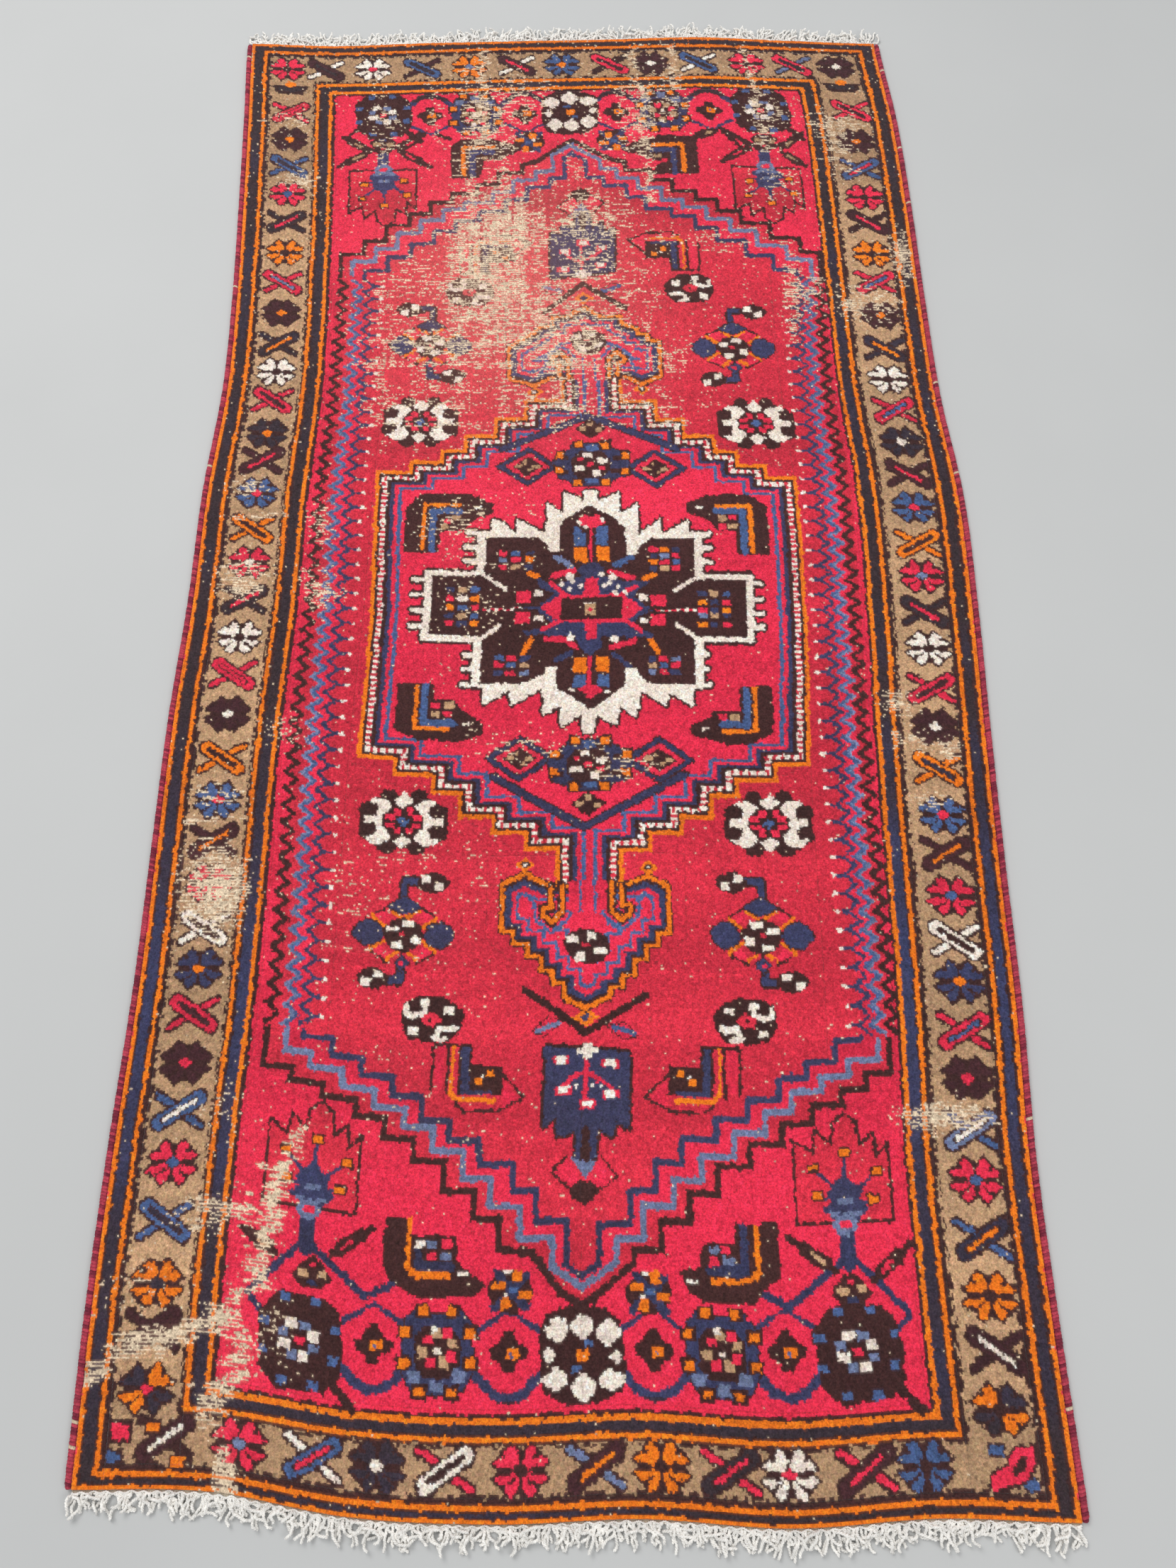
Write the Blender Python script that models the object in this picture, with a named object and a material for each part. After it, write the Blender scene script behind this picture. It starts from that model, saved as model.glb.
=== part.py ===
"""A hand-knotted wool rug lying flat, as the pieces it is woven from.

Metres, +Z up. X runs across the rug and Y along it, with the far end at +Y.
The origin is at the middle of the rug's underside. A cotton foundation carries the wool
pile, which is divided where the design changes: guard stripes, main borders, corner
fields, zigzag bands, inner field, pendants and medallion. A wool-wrapped cord closes
each side, and the warps end in a short cotton fringe at both ends.
"""

import math

import bmesh
import bpy
from mathutils import Vector

# Driving dimensions.
WIDTH = 1.050  # over both side cords
LENGTH = 2.089  # of the pile
FOUNDATION_THICKNESS = 0.003
PILE_TOP = 0.008  # above the floor
SIDE_CORD_WIDTH = 0.009
SIDE_CORD_HEIGHT = 0.007
END_WEAVE = 0.004  # bare plain weave between the pile and the fringe
NEAR_FRINGE = 0.027
FAR_FRINGE = 0.020
FRINGE_THICKNESS = 0.004
GAP = 0.0003  # between touching pieces

# The design is counted in knots: columns from the left side, rows from the far end.
COLUMNS = 291
ROWS = 545
LEFT_STRIPS = (0, 9, 31, 41)  # outer guard, main border, inner guard, field
RIGHT_STRIPS = (251, 261, 282, 291)  # the same strips on the right, field first
FAR_STRIPS = (0, 7, 22, 30)
NEAR_STRIPS = (518, 526, 539, 545)

# How far each handmade edge strays outwards from a straight one, in millimetres,
# at even stations: the sides from near to far, the ends from left to right.
LEFT_STRAY = (6, 8, 5, -1, -2, -3, -10, -12, -23, -21, -14, -6, 3)
RIGHT_STRAY = (-5, -8, -9, -1, 2, 7, 13, 15, 2, -1, -2, -6, -19)
NEAR_STRAY = (-22, -20, 4, 11, 7, 16, 8, 13)
FAR_STRAY = (17, 5, 5, 3, 0, -1, -16, -29)

# The inner field's figures, in knots (column, row).
MIDDLE = 150  # the column of the long axis
FAR_TIP = (MIDDLE, 58)  # where the corner fields meet at the far end
NEAR_TIP = (MIDDLE, 492)
FAR_CORNER_ROW = 124  # where the zigzag bands begin
NEAR_CORNER_ROW = 429
LEFT_BAND = (LEFT_STRIPS[3], 65)
RIGHT_BAND = (229, RIGHT_STRIPS[0])
MEDALLION_SIDES = (218, 330)  # rows of the medallion's straight sides
MEDALLION_STEP = (14, 6)  # first shoulder point, inwards and away from the side
MEDALLION_SHOULDER = (49, 22)
MEDALLION_NECK = (63, 33)
PENDANT_HALF_WIDTH = 34
FAR_PENDANT_ROWS = (140, 180)
NEAR_PENDANT_ROWS = (361, 388, 415)  # neck, widest row and tip

SPAN = 12  # knots between outline points, so that edges follow the stray

WOOL_RED = (0.55, 0.012, 0.045)
WOOL_ROSE = (0.50, 0.025, 0.075)
WOOL_CAMEL = (0.30, 0.185, 0.10)
WOOL_NAVY = (0.018, 0.020, 0.045)
WOOL_ORANGE = (0.80, 0.22, 0.015)
COTTON = (0.72, 0.60, 0.43)
FRINGE_COTTON = (0.78, 0.75, 0.68)
WOOL_ROUGHNESS = 0.9
COTTON_ROUGHNESS = 0.85


def clear_scene():
    for item in list(bpy.data.objects):
        bpy.data.objects.remove(item)


def finish(name, colour, roughness):
    """A plain material: the part's colour and roughness, with no metal."""
    material = bpy.data.materials.new(name)
    material.use_nodes = True
    shader = material.node_tree.nodes["Principled BSDF"]
    shader.inputs["Base Color"].default_value = (*colour, 1.0)
    shader.inputs["Roughness"].default_value = roughness
    shader.inputs["Metallic"].default_value = 0.0
    return material


def stray(stations, share):
    """A smooth curve through the stations, in metres, at a share of the edge's length."""
    place = min(max(share, 0.0), 1.0) * (len(stations) - 1)
    index = min(int(place), len(stations) - 2)
    rest = place - index
    before = stations[max(index - 1, 0)]
    start, end = stations[index], stations[index + 1]
    after = stations[min(index + 2, len(stations) - 1)]
    value = start + 0.5 * rest * (
        (end - before)
        + rest * (2 * before - 5 * start + 4 * end - after)
        + rest * rest * (3 * (start - end) + after - before)
    )
    return value / 1000


def on_rug(across, along):
    """The plan point at a share across the rug from the left and along it from near."""
    left, right = stray(LEFT_STRAY, along), stray(RIGHT_STRAY, along)
    near, far = stray(NEAR_STRAY, across), stray(FAR_STRAY, across)
    x = (across - 0.5) * WIDTH - (1 - across) * left + across * right
    y = (along - 0.5) * LENGTH - (1 - along) * near + along * far
    return Vector((x, y))


def at_knot(column, row):
    """The plan point of a place in the knot count."""
    pile_width = WIDTH - 2 * SIDE_CORD_WIDTH
    across = (SIDE_CORD_WIDTH + pile_width * column / COLUMNS) / WIDTH
    return on_rug(across, 1 - row / ROWS)


def divided(corners):
    """The knot outline with extra points on its edges, at the same knots for neighbours."""
    points = []
    for start, end in zip(corners, corners[1:] + corners[:1]):
        axis = 0 if abs(end[0] - start[0]) > abs(end[1] - start[1]) else 1
        low, high = sorted((start[axis], end[axis]))
        first = SPAN * (low // SPAN + 1)
        stations = list(range(first, high, SPAN))
        if end[axis] < start[axis]:
            stations.reverse()
        points.append(start)
        for station in stations:
            share = (station - start[axis]) / (end[axis] - start[axis])
            points.append(tuple(a + (b - a) * share for a, b in zip(start, end)))
    return points


def area(points):
    pairs = zip(points, points[1:] + points[:1])
    return sum(a.x * b.y - a.y * b.x for a, b in pairs) / 2


def drawn_in(points, distance):
    """The outline moved inwards all round, with mitred corners."""
    if area(points) < 0:
        points = points[::-1]
    result = []
    count = len(points)
    for index, point in enumerate(points):
        towards = (point - points[index - 1]).normalized()
        onwards = (points[(index + 1) % count] - point).normalized()
        normal_in = Vector((-towards.y, towards.x))
        normal_out = Vector((-onwards.y, onwards.x))
        mitre = (normal_in + normal_out).normalized()
        result.append(point + mitre * distance / mitre.dot(normal_in))
    return result


def slab(name, outline, bottom, top, material):
    """A flat piece: the plan outline extruded from bottom to top."""
    mesh = bpy.data.meshes.new(name)
    shape = bmesh.new()
    base = shape.faces.new([shape.verts.new((p.x, p.y, bottom)) for p in outline])
    upper = bmesh.ops.extrude_face_region(shape, geom=[base], use_keep_orig=True)
    raised = [item for item in upper["geom"] if isinstance(item, bmesh.types.BMVert)]
    bmesh.ops.translate(shape, verts=raised, vec=(0, 0, top - bottom))
    bmesh.ops.recalc_face_normals(shape, faces=shape.faces)
    shape.to_mesh(mesh)
    shape.free()
    return add(name, mesh, material)


def add(name, mesh, material):
    mesh.materials.append(material)
    item = bpy.data.objects.new(name, mesh)
    bpy.context.scene.collection.objects.link(item)
    return item


def pile(name, corners, material):
    """One area of knotted pile, standing on the foundation."""
    outline = [at_knot(*point) for point in divided(corners)]
    bottom = FOUNDATION_THICKNESS + GAP
    return slab(name, drawn_in(outline, GAP / 2), bottom, PILE_TOP, material)


def box_of(columns, rows):
    """The corners of a strip of knots."""
    (left, right), (far, near) = columns, rows
    return [(left, far), (right, far), (right, near), (left, near)]


def make_foundation(material):
    """The woven sheet of cotton warp and weft that every knot is tied to."""
    outline = [at_knot(*point) for point in divided(box_of((0, COLUMNS), (0, ROWS)))]
    for point in outline:
        along_side = abs(point.y) < LENGTH / 2 - 0.1
        if not along_side:
            point.y += math.copysign(END_WEAVE, point.y)
    slab("foundation", drawn_in(outline, GAP / 2), 0, FOUNDATION_THICKNESS, material)


def make_borders(guard, camel):
    """Two striped guards and the wide border between them, each as four strips."""
    names = ("outer_guard", "main_border", "inner_guard")
    for ring, name in enumerate(names):
        material = camel if name == "main_border" else guard
        left = LEFT_STRIPS[ring : ring + 2]
        right = RIGHT_STRIPS[2 - ring : 4 - ring]
        far = FAR_STRIPS[ring : ring + 2]
        near = NEAR_STRIPS[2 - ring : 4 - ring]
        whole_length = (far[0], near[1])
        between = (left[1], right[0])
        pile(name + "_left", box_of(left, whole_length), material)
        pile(name + "_right", box_of(right, whole_length), material)
        pile(name + "_far", box_of(between, far), material)
        pile(name + "_near", box_of(between, near), material)


def shoulder(side, row, inwards, away):
    """The medallion's shoulder, from its side to its neck, in knots."""
    steps = (MEDALLION_STEP, MEDALLION_SHOULDER, MEDALLION_NECK)
    points = [(side, row)]
    points += [(side + inwards * step[0], row + away * step[1]) for step in steps]
    return points


def make_field(red, rose, navy):
    """The corner fields, zigzag bands, inner field, pendants and medallion."""
    left, right = LEFT_STRIPS[3], RIGHT_STRIPS[0]
    far, near = FAR_STRIPS[3], NEAR_STRIPS[0]
    far_left = (left, FAR_CORNER_ROW)
    far_right = (right, FAR_CORNER_ROW)
    near_left = (left, NEAR_CORNER_ROW)
    near_right = (right, NEAR_CORNER_ROW)

    pile("corner_field_far_left", [(left, far), (MIDDLE, far), FAR_TIP, far_left], red)
    pile("corner_field_far_right", [(MIDDLE, far), (right, far), far_right, FAR_TIP], red)
    pile("corner_field_near_left", [near_left, NEAR_TIP, (MIDDLE, near), (left, near)], red)
    pile("corner_field_near_right", [NEAR_TIP, near_right, (right, near), (MIDDLE, near)], red)

    band_rows = (FAR_CORNER_ROW, NEAR_CORNER_ROW)
    pile("zigzag_band_left", box_of(LEFT_BAND, band_rows), navy)
    pile("zigzag_band_right", box_of(RIGHT_BAND, band_rows), navy)

    far_row, near_row = MEDALLION_SIDES
    far_left_shoulder = shoulder(LEFT_BAND[1], far_row, 1, -1)
    far_right_shoulder = shoulder(RIGHT_BAND[0], far_row, -1, -1)
    near_left_shoulder = shoulder(LEFT_BAND[1], near_row, 1, 1)
    near_right_shoulder = shoulder(RIGHT_BAND[0], near_row, -1, 1)
    far_neck, near_neck = FAR_PENDANT_ROWS[1], NEAR_PENDANT_ROWS[0]
    left_neck, right_neck = far_left_shoulder[-1][0], far_right_shoulder[-1][0]
    medallion = far_left_shoulder + [(left_neck, far_neck), (right_neck, far_neck)]
    medallion += far_right_shoulder[::-1] + near_right_shoulder[:-1]
    medallion += [(right_neck, near_neck), (left_neck, near_neck)]
    medallion += near_left_shoulder[:-1][::-1]
    pile("medallion", medallion, red)

    pendant_left = MIDDLE - PENDANT_HALF_WIDTH
    pendant_right = MIDDLE + PENDANT_HALF_WIDTH
    pendant_top = FAR_PENDANT_ROWS[0]
    widest, tip = NEAR_PENDANT_ROWS[1:]
    far_pendant = box_of((pendant_left, pendant_right), FAR_PENDANT_ROWS)
    near_pendant = [(pendant_left, near_neck), (pendant_right, near_neck)]
    near_pendant += [(pendant_right, widest), (MIDDLE, tip), (pendant_left, widest)]
    pile("pendant_far", far_pendant, navy)
    pile("pendant_near", near_pendant, navy)

    def far_quarter(corner, band, shoulder_points, neck, pendant_side):
        outline = [FAR_TIP, corner, (band, FAR_CORNER_ROW)] + shoulder_points
        outline += [(neck, far_neck), (pendant_side, far_neck)]
        return outline + [(pendant_side, pendant_top), (MIDDLE, pendant_top)]

    def near_quarter(corner, band, shoulder_points, neck, pendant_side):
        outline = [NEAR_TIP, corner, (band, NEAR_CORNER_ROW)] + shoulder_points[:-1]
        outline += [(neck, near_neck), (pendant_side, near_neck)]
        return outline + [(pendant_side, widest), (MIDDLE, tip)]

    pile(
        "inner_field_far_left",
        far_quarter(far_left, LEFT_BAND[1], far_left_shoulder, left_neck, pendant_left),
        rose,
    )
    pile(
        "inner_field_far_right",
        far_quarter(far_right, RIGHT_BAND[0], far_right_shoulder, right_neck, pendant_right),
        rose,
    )
    pile(
        "inner_field_near_left",
        near_quarter(near_left, LEFT_BAND[1], near_left_shoulder, left_neck, pendant_left),
        rose,
    )
    pile(
        "inner_field_near_right",
        near_quarter(near_right, RIGHT_BAND[0], near_right_shoulder, right_neck, pendant_right),
        rose,
    )


def make_side_cord(name, side, material):
    """A cord of warps wrapped in wool, along one side. side is -1 left, 1 right."""
    sides = 8
    half_width = (SIDE_CORD_WIDTH - GAP) / 2
    half_height = SIDE_CORD_HEIGHT / 2
    centre_share = 0.5 + side * (0.5 - SIDE_CORD_WIDTH / 2 / WIDTH)
    shape = bmesh.new()
    rings = []
    for row in (*range(0, ROWS, SPAN), ROWS):
        centre = on_rug(centre_share, 1 - row / ROWS)
        ring = []
        for corner in range(sides):
            angle = 2 * math.pi * corner / sides
            x = centre.x + side * GAP / 2 + half_width * math.cos(angle)
            z = half_height + half_height * math.sin(angle)
            ring.append(shape.verts.new((x, centre.y, z)))
        rings.append(ring)
    for ring, following in zip(rings, rings[1:]):
        for corner in range(sides):
            after = (corner + 1) % sides
            shape.faces.new((ring[corner], ring[after], following[after], following[corner]))
    shape.faces.new(rings[0])
    shape.faces.new(rings[-1])
    bmesh.ops.recalc_face_normals(shape, faces=shape.faces)
    mesh = bpy.data.meshes.new(name)
    shape.to_mesh(mesh)
    shape.free()
    mesh.shade_smooth()
    add(name, mesh, material)


def make_fringe(name, row, length, material):
    """The loose warp ends beyond one end of the pile, whose last knots are in this row."""
    outwards = 1 if row == 0 else -1
    edge = [at_knot(column, row) for column in (*range(0, COLUMNS, SPAN), COLUMNS)]
    root = [point + Vector((0, outwards * (END_WEAVE + GAP))) for point in edge]
    tips = [point + Vector((0, outwards * (END_WEAVE + length))) for point in edge]
    slab(name, root + tips[::-1], 0, FRINGE_THICKNESS, material)


def centre_on_origin():
    """Moves every mesh so that the middle of the whole rug's box is over the origin."""
    meshes = [item.data for item in bpy.data.objects]
    points = [vertex.co for mesh in meshes for vertex in mesh.vertices]
    middle_x = (min(p.x for p in points) + max(p.x for p in points)) / 2
    middle_y = (min(p.y for p in points) + max(p.y for p in points)) / 2
    for mesh in meshes:
        for vertex in mesh.vertices:
            vertex.co.x -= middle_x
            vertex.co.y -= middle_y


def build():
    clear_scene()
    red = finish("wool_red", WOOL_RED, WOOL_ROUGHNESS)
    rose = finish("wool_rose", WOOL_ROSE, WOOL_ROUGHNESS)
    camel = finish("wool_camel", WOOL_CAMEL, WOOL_ROUGHNESS)
    navy = finish("wool_navy", WOOL_NAVY, WOOL_ROUGHNESS)
    orange = finish("wool_orange", WOOL_ORANGE, WOOL_ROUGHNESS)
    cotton = finish("cotton_warp", COTTON, COTTON_ROUGHNESS)
    fringe_cotton = finish("cotton_fringe", FRINGE_COTTON, COTTON_ROUGHNESS)
    side_wool = finish("wool_side_cord", WOOL_ROSE, WOOL_ROUGHNESS)

    make_foundation(cotton)
    make_borders(orange, camel)
    make_field(red, rose, navy)
    make_side_cord("side_cord_left", -1, side_wool)
    make_side_cord("side_cord_right", 1, side_wool)
    make_fringe("fringe_near", ROWS, NEAR_FRINGE, fringe_cotton)
    make_fringe("fringe_far", 0, FAR_FRINGE, fringe_cotton)
    centre_on_origin()


build()
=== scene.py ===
"""The looks of a worn, hand-knotted village rug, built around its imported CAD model.

The design is drawn first, knot by knot, on a chart. Every knot of the chart then becomes
a small tuft of pile in its own wool, on the CAD model's pile areas. Metres, +Z up.
"""

import math

import bpy
import numpy as np
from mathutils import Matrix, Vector


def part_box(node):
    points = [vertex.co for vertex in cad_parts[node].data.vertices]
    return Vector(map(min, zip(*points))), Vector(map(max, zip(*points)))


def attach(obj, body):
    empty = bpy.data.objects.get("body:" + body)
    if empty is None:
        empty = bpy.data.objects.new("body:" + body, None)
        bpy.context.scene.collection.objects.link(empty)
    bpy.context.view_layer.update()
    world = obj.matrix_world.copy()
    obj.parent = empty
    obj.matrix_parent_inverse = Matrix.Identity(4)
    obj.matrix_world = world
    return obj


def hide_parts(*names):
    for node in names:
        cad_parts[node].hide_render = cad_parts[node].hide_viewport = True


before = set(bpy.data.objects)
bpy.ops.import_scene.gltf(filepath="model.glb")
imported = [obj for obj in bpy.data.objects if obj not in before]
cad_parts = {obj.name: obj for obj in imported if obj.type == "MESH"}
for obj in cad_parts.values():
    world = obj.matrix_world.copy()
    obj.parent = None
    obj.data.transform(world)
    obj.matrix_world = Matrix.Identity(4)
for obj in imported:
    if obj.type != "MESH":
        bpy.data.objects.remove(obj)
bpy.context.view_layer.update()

# The rug's driving dimensions, as in the CAD model.
WIDTH = 1.050  # over both side cords
LENGTH = 2.089  # of the pile
FOUNDATION_TOP = 0.003
PILE_TOP = 0.008
SIDE_CORD_WIDTH = 0.009
SIDE_CORD_HEIGHT = 0.007
END_WEAVE = 0.004
NEAR_FRINGE = 0.027
FAR_FRINGE = 0.029  # its loose ends reach past the CAD model's
COLUMNS = 291  # of knots in the pile
ROWS = 545
# How far the edges stray from straight at even steps, in millimetres: the sides from the near
# end and the ends from the left.
LEFT_STRAY = (6, 8, 5, -1, -2, -3, -10, -12, -23, -21, -14, -6, 3)
RIGHT_STRAY = (-5, -8, -9, -1, 2, 7, 13, 15, 2, -1, -2, -6, -19)
NEAR_STRAY = (-22, -20, 4, 11, 7, 16, 8, 13)
FAR_STRAY = (17, 5, 5, 3, 0, -1, -16, -29)

# The wools: linear colours, numbered as on the chart.
BARE, CAMEL, RED, ROSE, DARK, NAVY, BLUE, SKY, ORANGE, WHITE, PLUM = range(11)
WOOLS = np.array(
    [
        (0.800, 0.620, 0.430),  # bare: the cotton foundation where the pile has gone
        (0.480, 0.285, 0.155),  # camel
        (0.780, 0.025, 0.067),  # red
        (0.640, 0.025, 0.052),  # rose
        (0.050, 0.017, 0.016),  # dark brown
        (0.042, 0.047, 0.115),  # navy
        (0.064, 0.112, 0.255),  # blue
        (0.150, 0.185, 0.315),  # sky blue
        (0.900, 0.190, 0.008),  # orange
        (0.880, 0.740, 0.630),  # white
        (0.060, 0.018, 0.022),  # plum
    ]
)

CHARCOAL = np.array((0.040, 0.024, 0.028))  # the nearly black batches of the navy wool
FADED = np.array((0.74, 0.34, 0.25))  # what worn or bleached wool pales towards
MAGENTA = np.array((0.52, 0.055, 0.090))  # the side cords, from light to dark
DARK_MAGENTA = np.array((0.20, 0.020, 0.042))
CODES = {"N": NAVY, "C": CAMEL, "B": BLUE, "O": ORANGE, "R": RED, "b": SKY, "W": WHITE}

dice = np.random.default_rng(7)


# ------------------------------------------------------------------ drawing on the chart

# Columns are counted from the left side's edge, so the pile begins at column 3. A place on
# the chart is (column, row), with rows counted from the far end. The chart is drawn twice as
# fine as the knots, because a tuft spreads over its neighbours.
FIRST = 3
GRAIN = 2
MIDDLE = 150  # the column where the rug's halves meet
KNOTS = ROWS, COLUMNS + 2 * FIRST  # the chart's size in knots
chart = np.full((KNOTS[0] * GRAIN, KNOTS[1] * GRAIN), RED, np.uint8)


def near(points, reach):
    """The part of the chart within reach of the points, with its cells' middles."""
    low = np.floor((np.min(points, 0) - reach) * GRAIN).astype(int).clip(0)
    high = np.ceil((np.max(points, 0) + reach) * GRAIN).astype(int).clip(0)
    part = chart[low[1] : high[1], low[0] : high[0]]
    rows, columns = np.indices(part.shape) + 0.5
    return part, (columns + low[0]) / GRAIN, (rows + low[1]) / GRAIN


def within(points, columns, rows):
    """Which cells lie inside an outline."""
    inside = np.zeros(rows.shape, bool)
    for (x, y), (next_x, next_y) in zip(points, points[1:] + points[:1]):
        if y != next_y:
            edge = x + (rows - y) * (next_x - x) / (next_y - y)
            inside ^= ((y <= rows) != (next_y <= rows)) & (columns < edge)
    return inside


def grown(mask, cells=1):
    """The mask with so many cells all round it."""
    for _ in range(cells):
        wide = mask | np.roll(mask, 1, 1) | np.roll(mask, -1, 1)
        mask = wide | np.roll(mask, 1, 0) | np.roll(mask, -1, 0)
    return mask


class Figure:
    """Draws about a place on the chart, mirrored across or along where that is -1."""

    def __init__(self, column=0, row=0, across=1, along=1):
        self.column, self.row, self.across, self.along = column, row, across, along

    def place(self, x, y):
        return self.column + self.across * x, self.row + self.along * y

    def line(self, colour, *points, width=1.6, closed=False):
        points = [self.place(*point) for point in points]
        part, columns, rows = near(points, width)
        followers = points[1:] + points[:1] if closed else points[1:]
        for (x, y), (next_x, next_y) in zip(points, followers):
            run, rise = next_x - x, next_y - y
            share = ((columns - x) * run + (rows - y) * rise) / max(run**2 + rise**2, 1e-9)
            share = share.clip(0, 1)
            away = np.hypot(columns - x - share * run, rows - y - share * rise)
            part[away <= width / 2] = colour

    def shape(self, colour, *points):
        self.outlined(colour, points, edge=None)

    def outlined(self, colour, *outlines, edge=DARK, width=1.0):
        """Filled outlines with an edge of another colour all round them."""
        outlines = [[self.place(*point) for point in outline] for outline in outlines]
        part, columns, rows = near(sum(outlines, []), width + 1)
        inside = sum(within(outline, columns, rows).astype(int) for outline in outlines) > 0
        if edge is not None:
            part[grown(inside, round(width * GRAIN))] = edge
        part[inside] = colour

    def box(self, colour, left, top, right, bottom):
        self.shape(colour, (left, top), (right, top), (right, bottom), (left, bottom))

    def oval(self, colour, x, y, across, along=None):
        along = across if along is None else along
        x, y = self.place(x, y)
        part, columns, rows = near([(x - across, y - along), (x + across, y + along)], 1)
        part[((columns - x) / across) ** 2 + ((rows - y) / along) ** 2 <= 1] = colour

    def blocks(self, colour, across, along, *points):
        """Small blocks of one size, in places given by their middles."""
        for x, y in points:
            self.box(colour, x - across / 2, y - along / 2, x + across / 2, y + along / 2)

    def lobes(self, colour, *lobes):
        """Round lobes with a short point on every side: the middle and half size of each."""
        for x, y, across, along in lobes:
            self.oval(colour, x, y, 0.84 * across, 0.84 * along)
            self.blocks(colour, 2 * across, 0.5 * along, (x, y))
            self.blocks(colour, 0.5 * across, 2 * along, (x, y))

    def dots(self, colour, *points, size=1.1):
        for x, y in points:
            self.oval(colour, x, y, size)


rug = Figure()


def steps(start, columns, rows):
    """A stepped line: across to each column in turn, then along to its row."""
    points = [start]
    for column, row in zip(columns, rows):
        points += [(column, points[-1][1]), (column, row)]
    return points


def shrunk(mask, columns, rows):
    """The mask drawn in by some knots across and along."""
    for axis, count in ((1, columns), (0, rows)):
        for _ in range(round(count * GRAIN)):
            mask = mask & np.roll(mask, 1, axis) & np.roll(mask, -1, axis)
    return mask


def mask_of(*points):
    """The cells inside an outline, as a mask over the whole chart."""
    rows, columns = (np.indices(chart.shape) + 0.5) / GRAIN
    return within(list(points), columns, rows)


# ---------------------------------------------------------------------------- the borders

# Stripes from the outside inwards: colour and first column or row; the last ends the field.
LEFT_STRIPES = ((ORANGE, 3), (DARK, 4.5), (NAVY, 5), (DARK, 8.5), (ORANGE, 9), (DARK, 10.5),
                (CAMEL, 12), (DARK, 33.5), (ORANGE, 34), (DARK, 35.5), (NAVY, 36.5), (ORANGE, 40),
                (DARK, 41.5), (RED, 43))
RIGHT_STRIPES = ((ORANGE, 294), (DARK, 292.5), (NAVY, 291.5), (DARK, 288.5), (ORANGE, 288),
                 (DARK, 286.5), (CAMEL, 285), (DARK, 264.5), (ORANGE, 263), (DARK, 261.5),
                 (NAVY, 261), (ORANGE, 257.5), (DARK, 256), (RED, 255))
FAR_STRIPES = ((ORANGE, 0), (DARK, 1.5), (NAVY, 2), (DARK, 3.5), (ORANGE, 4), (DARK, 5.5),
               (CAMEL, 7), (DARK, 22), (ORANGE, 22.5), (DARK, 24), (NAVY, 24.5), (ORANGE, 27),
               (DARK, 28.5), (RED, 29.5))
NEAR_STRIPES = ((ORANGE, 545), (DARK, 544), (NAVY, 543.5), (DARK, 542.5), (ORANGE, 542),
                (DARK, 540.5), (CAMEL, 539), (DARK, 526.5), (ORANGE, 526), (DARK, 524.5),
                (NAVY, 524), (ORANGE, 521.5), (DARK, 520), (RED, 519))


EDGING_SHARE = 0.55  # of the knots along the main border's edges are dark


def draw_stripes():
    """Each ring of the border is a filled box that the next one lies on."""
    edges = zip(LEFT_STRIPES, FAR_STRIPES, RIGHT_STRIPES, NEAR_STRIPES)
    for (colour, left), (_, top), (_, right), (_, bottom) in edges:
        rug.box(colour, left, top, right, bottom)
        if colour == CAMEL:
            edging = mask_of((left, top), (right, top), (right, bottom), (left, bottom))
            edging &= ~mask_of((left + 1, top + 1), (right - 1, top + 1),
                               (right - 1, bottom - 1), (left + 1, bottom - 1))
            inner = mask_of((32.5, 21), (265.5, 21), (265.5, 527.5), (32.5, 527.5))
            edging |= inner & ~shrunk(inner, 1, 1)
            edging &= chart == CAMEL
            loose = np.repeat(np.repeat(dice.random(KNOTS), GRAIN, 0), GRAIN, 1)
            chart[edging & (loose < EDGING_SHARE)] = DARK


LOBE = ((0.7, -0.7), (5.6, -0.8), (8.2, -1.8), (5.8, -3.3), (4.0, -3.0), (4.4, -4.8), (3.0, -6.3),
        (1.4, -5.0), (0.7, -3.4))


def star(column, row, colour, centre=DARK, other=None, slope=1):
    """An eight-pointed star: four double lobes with a dark edge, and a dark cross between."""
    figure = Figure(column + 0.5, row + 0.5)
    for across in (-1, 1):
        for along in (-1, 1):
            lobe = [(across * x, along * y) for x, y in LOBE]
            crossed = other is not None and across * along * slope < 0
            figure.outlined(other if crossed else colour, lobe)
            figure.line(DARK, (across * 4.4, along * 3.6), (across * 2.2, along * 1.9), width=0.7)
    figure.line(DARK, (-5, 0), (5, 0), width=1.2)
    figure.line(DARK, (0, -5), (0, 5), width=1.2)
    figure.shape(DARK, (-3, 0), (0, -2.3), (3, 0), (0, 2.3))
    figure.shape(centre, (-2.4, 0), (0, -1.7), (2.4, 0), (0, 1.7))


def leaf_bar(column, row, colour, stripe, leaves, slope):
    """A slanted bar with a stripe in it and a leaf on either side. Slope 1 rises rightwards."""
    bar = Figure(column + 0.5, row + 0.5, 1, -slope)
    for x, y in ((-1, 1), (1, -1)):
        bar.line(DARK, (x * 2, y * 1.3), (x * 7.5, y * 4.4), width=3.4)
        bar.line(leaves, (x * 3, y * 2.0), (x * 7.5, y * 4.4), width=1.7)
    bar.line(DARK, (-6.2, -3.7), (6.2, 3.7), width=5.8)
    bar.line(colour, (-6.2, -3.7), (6.2, 3.7), width=4.2)
    bar.line(DARK, (-5.0, -3.0), (5.0, 3.0), width=1.9)
    bar.line(stripe, (-4.6, -2.8), (4.6, 2.8), width=1.2)


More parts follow.
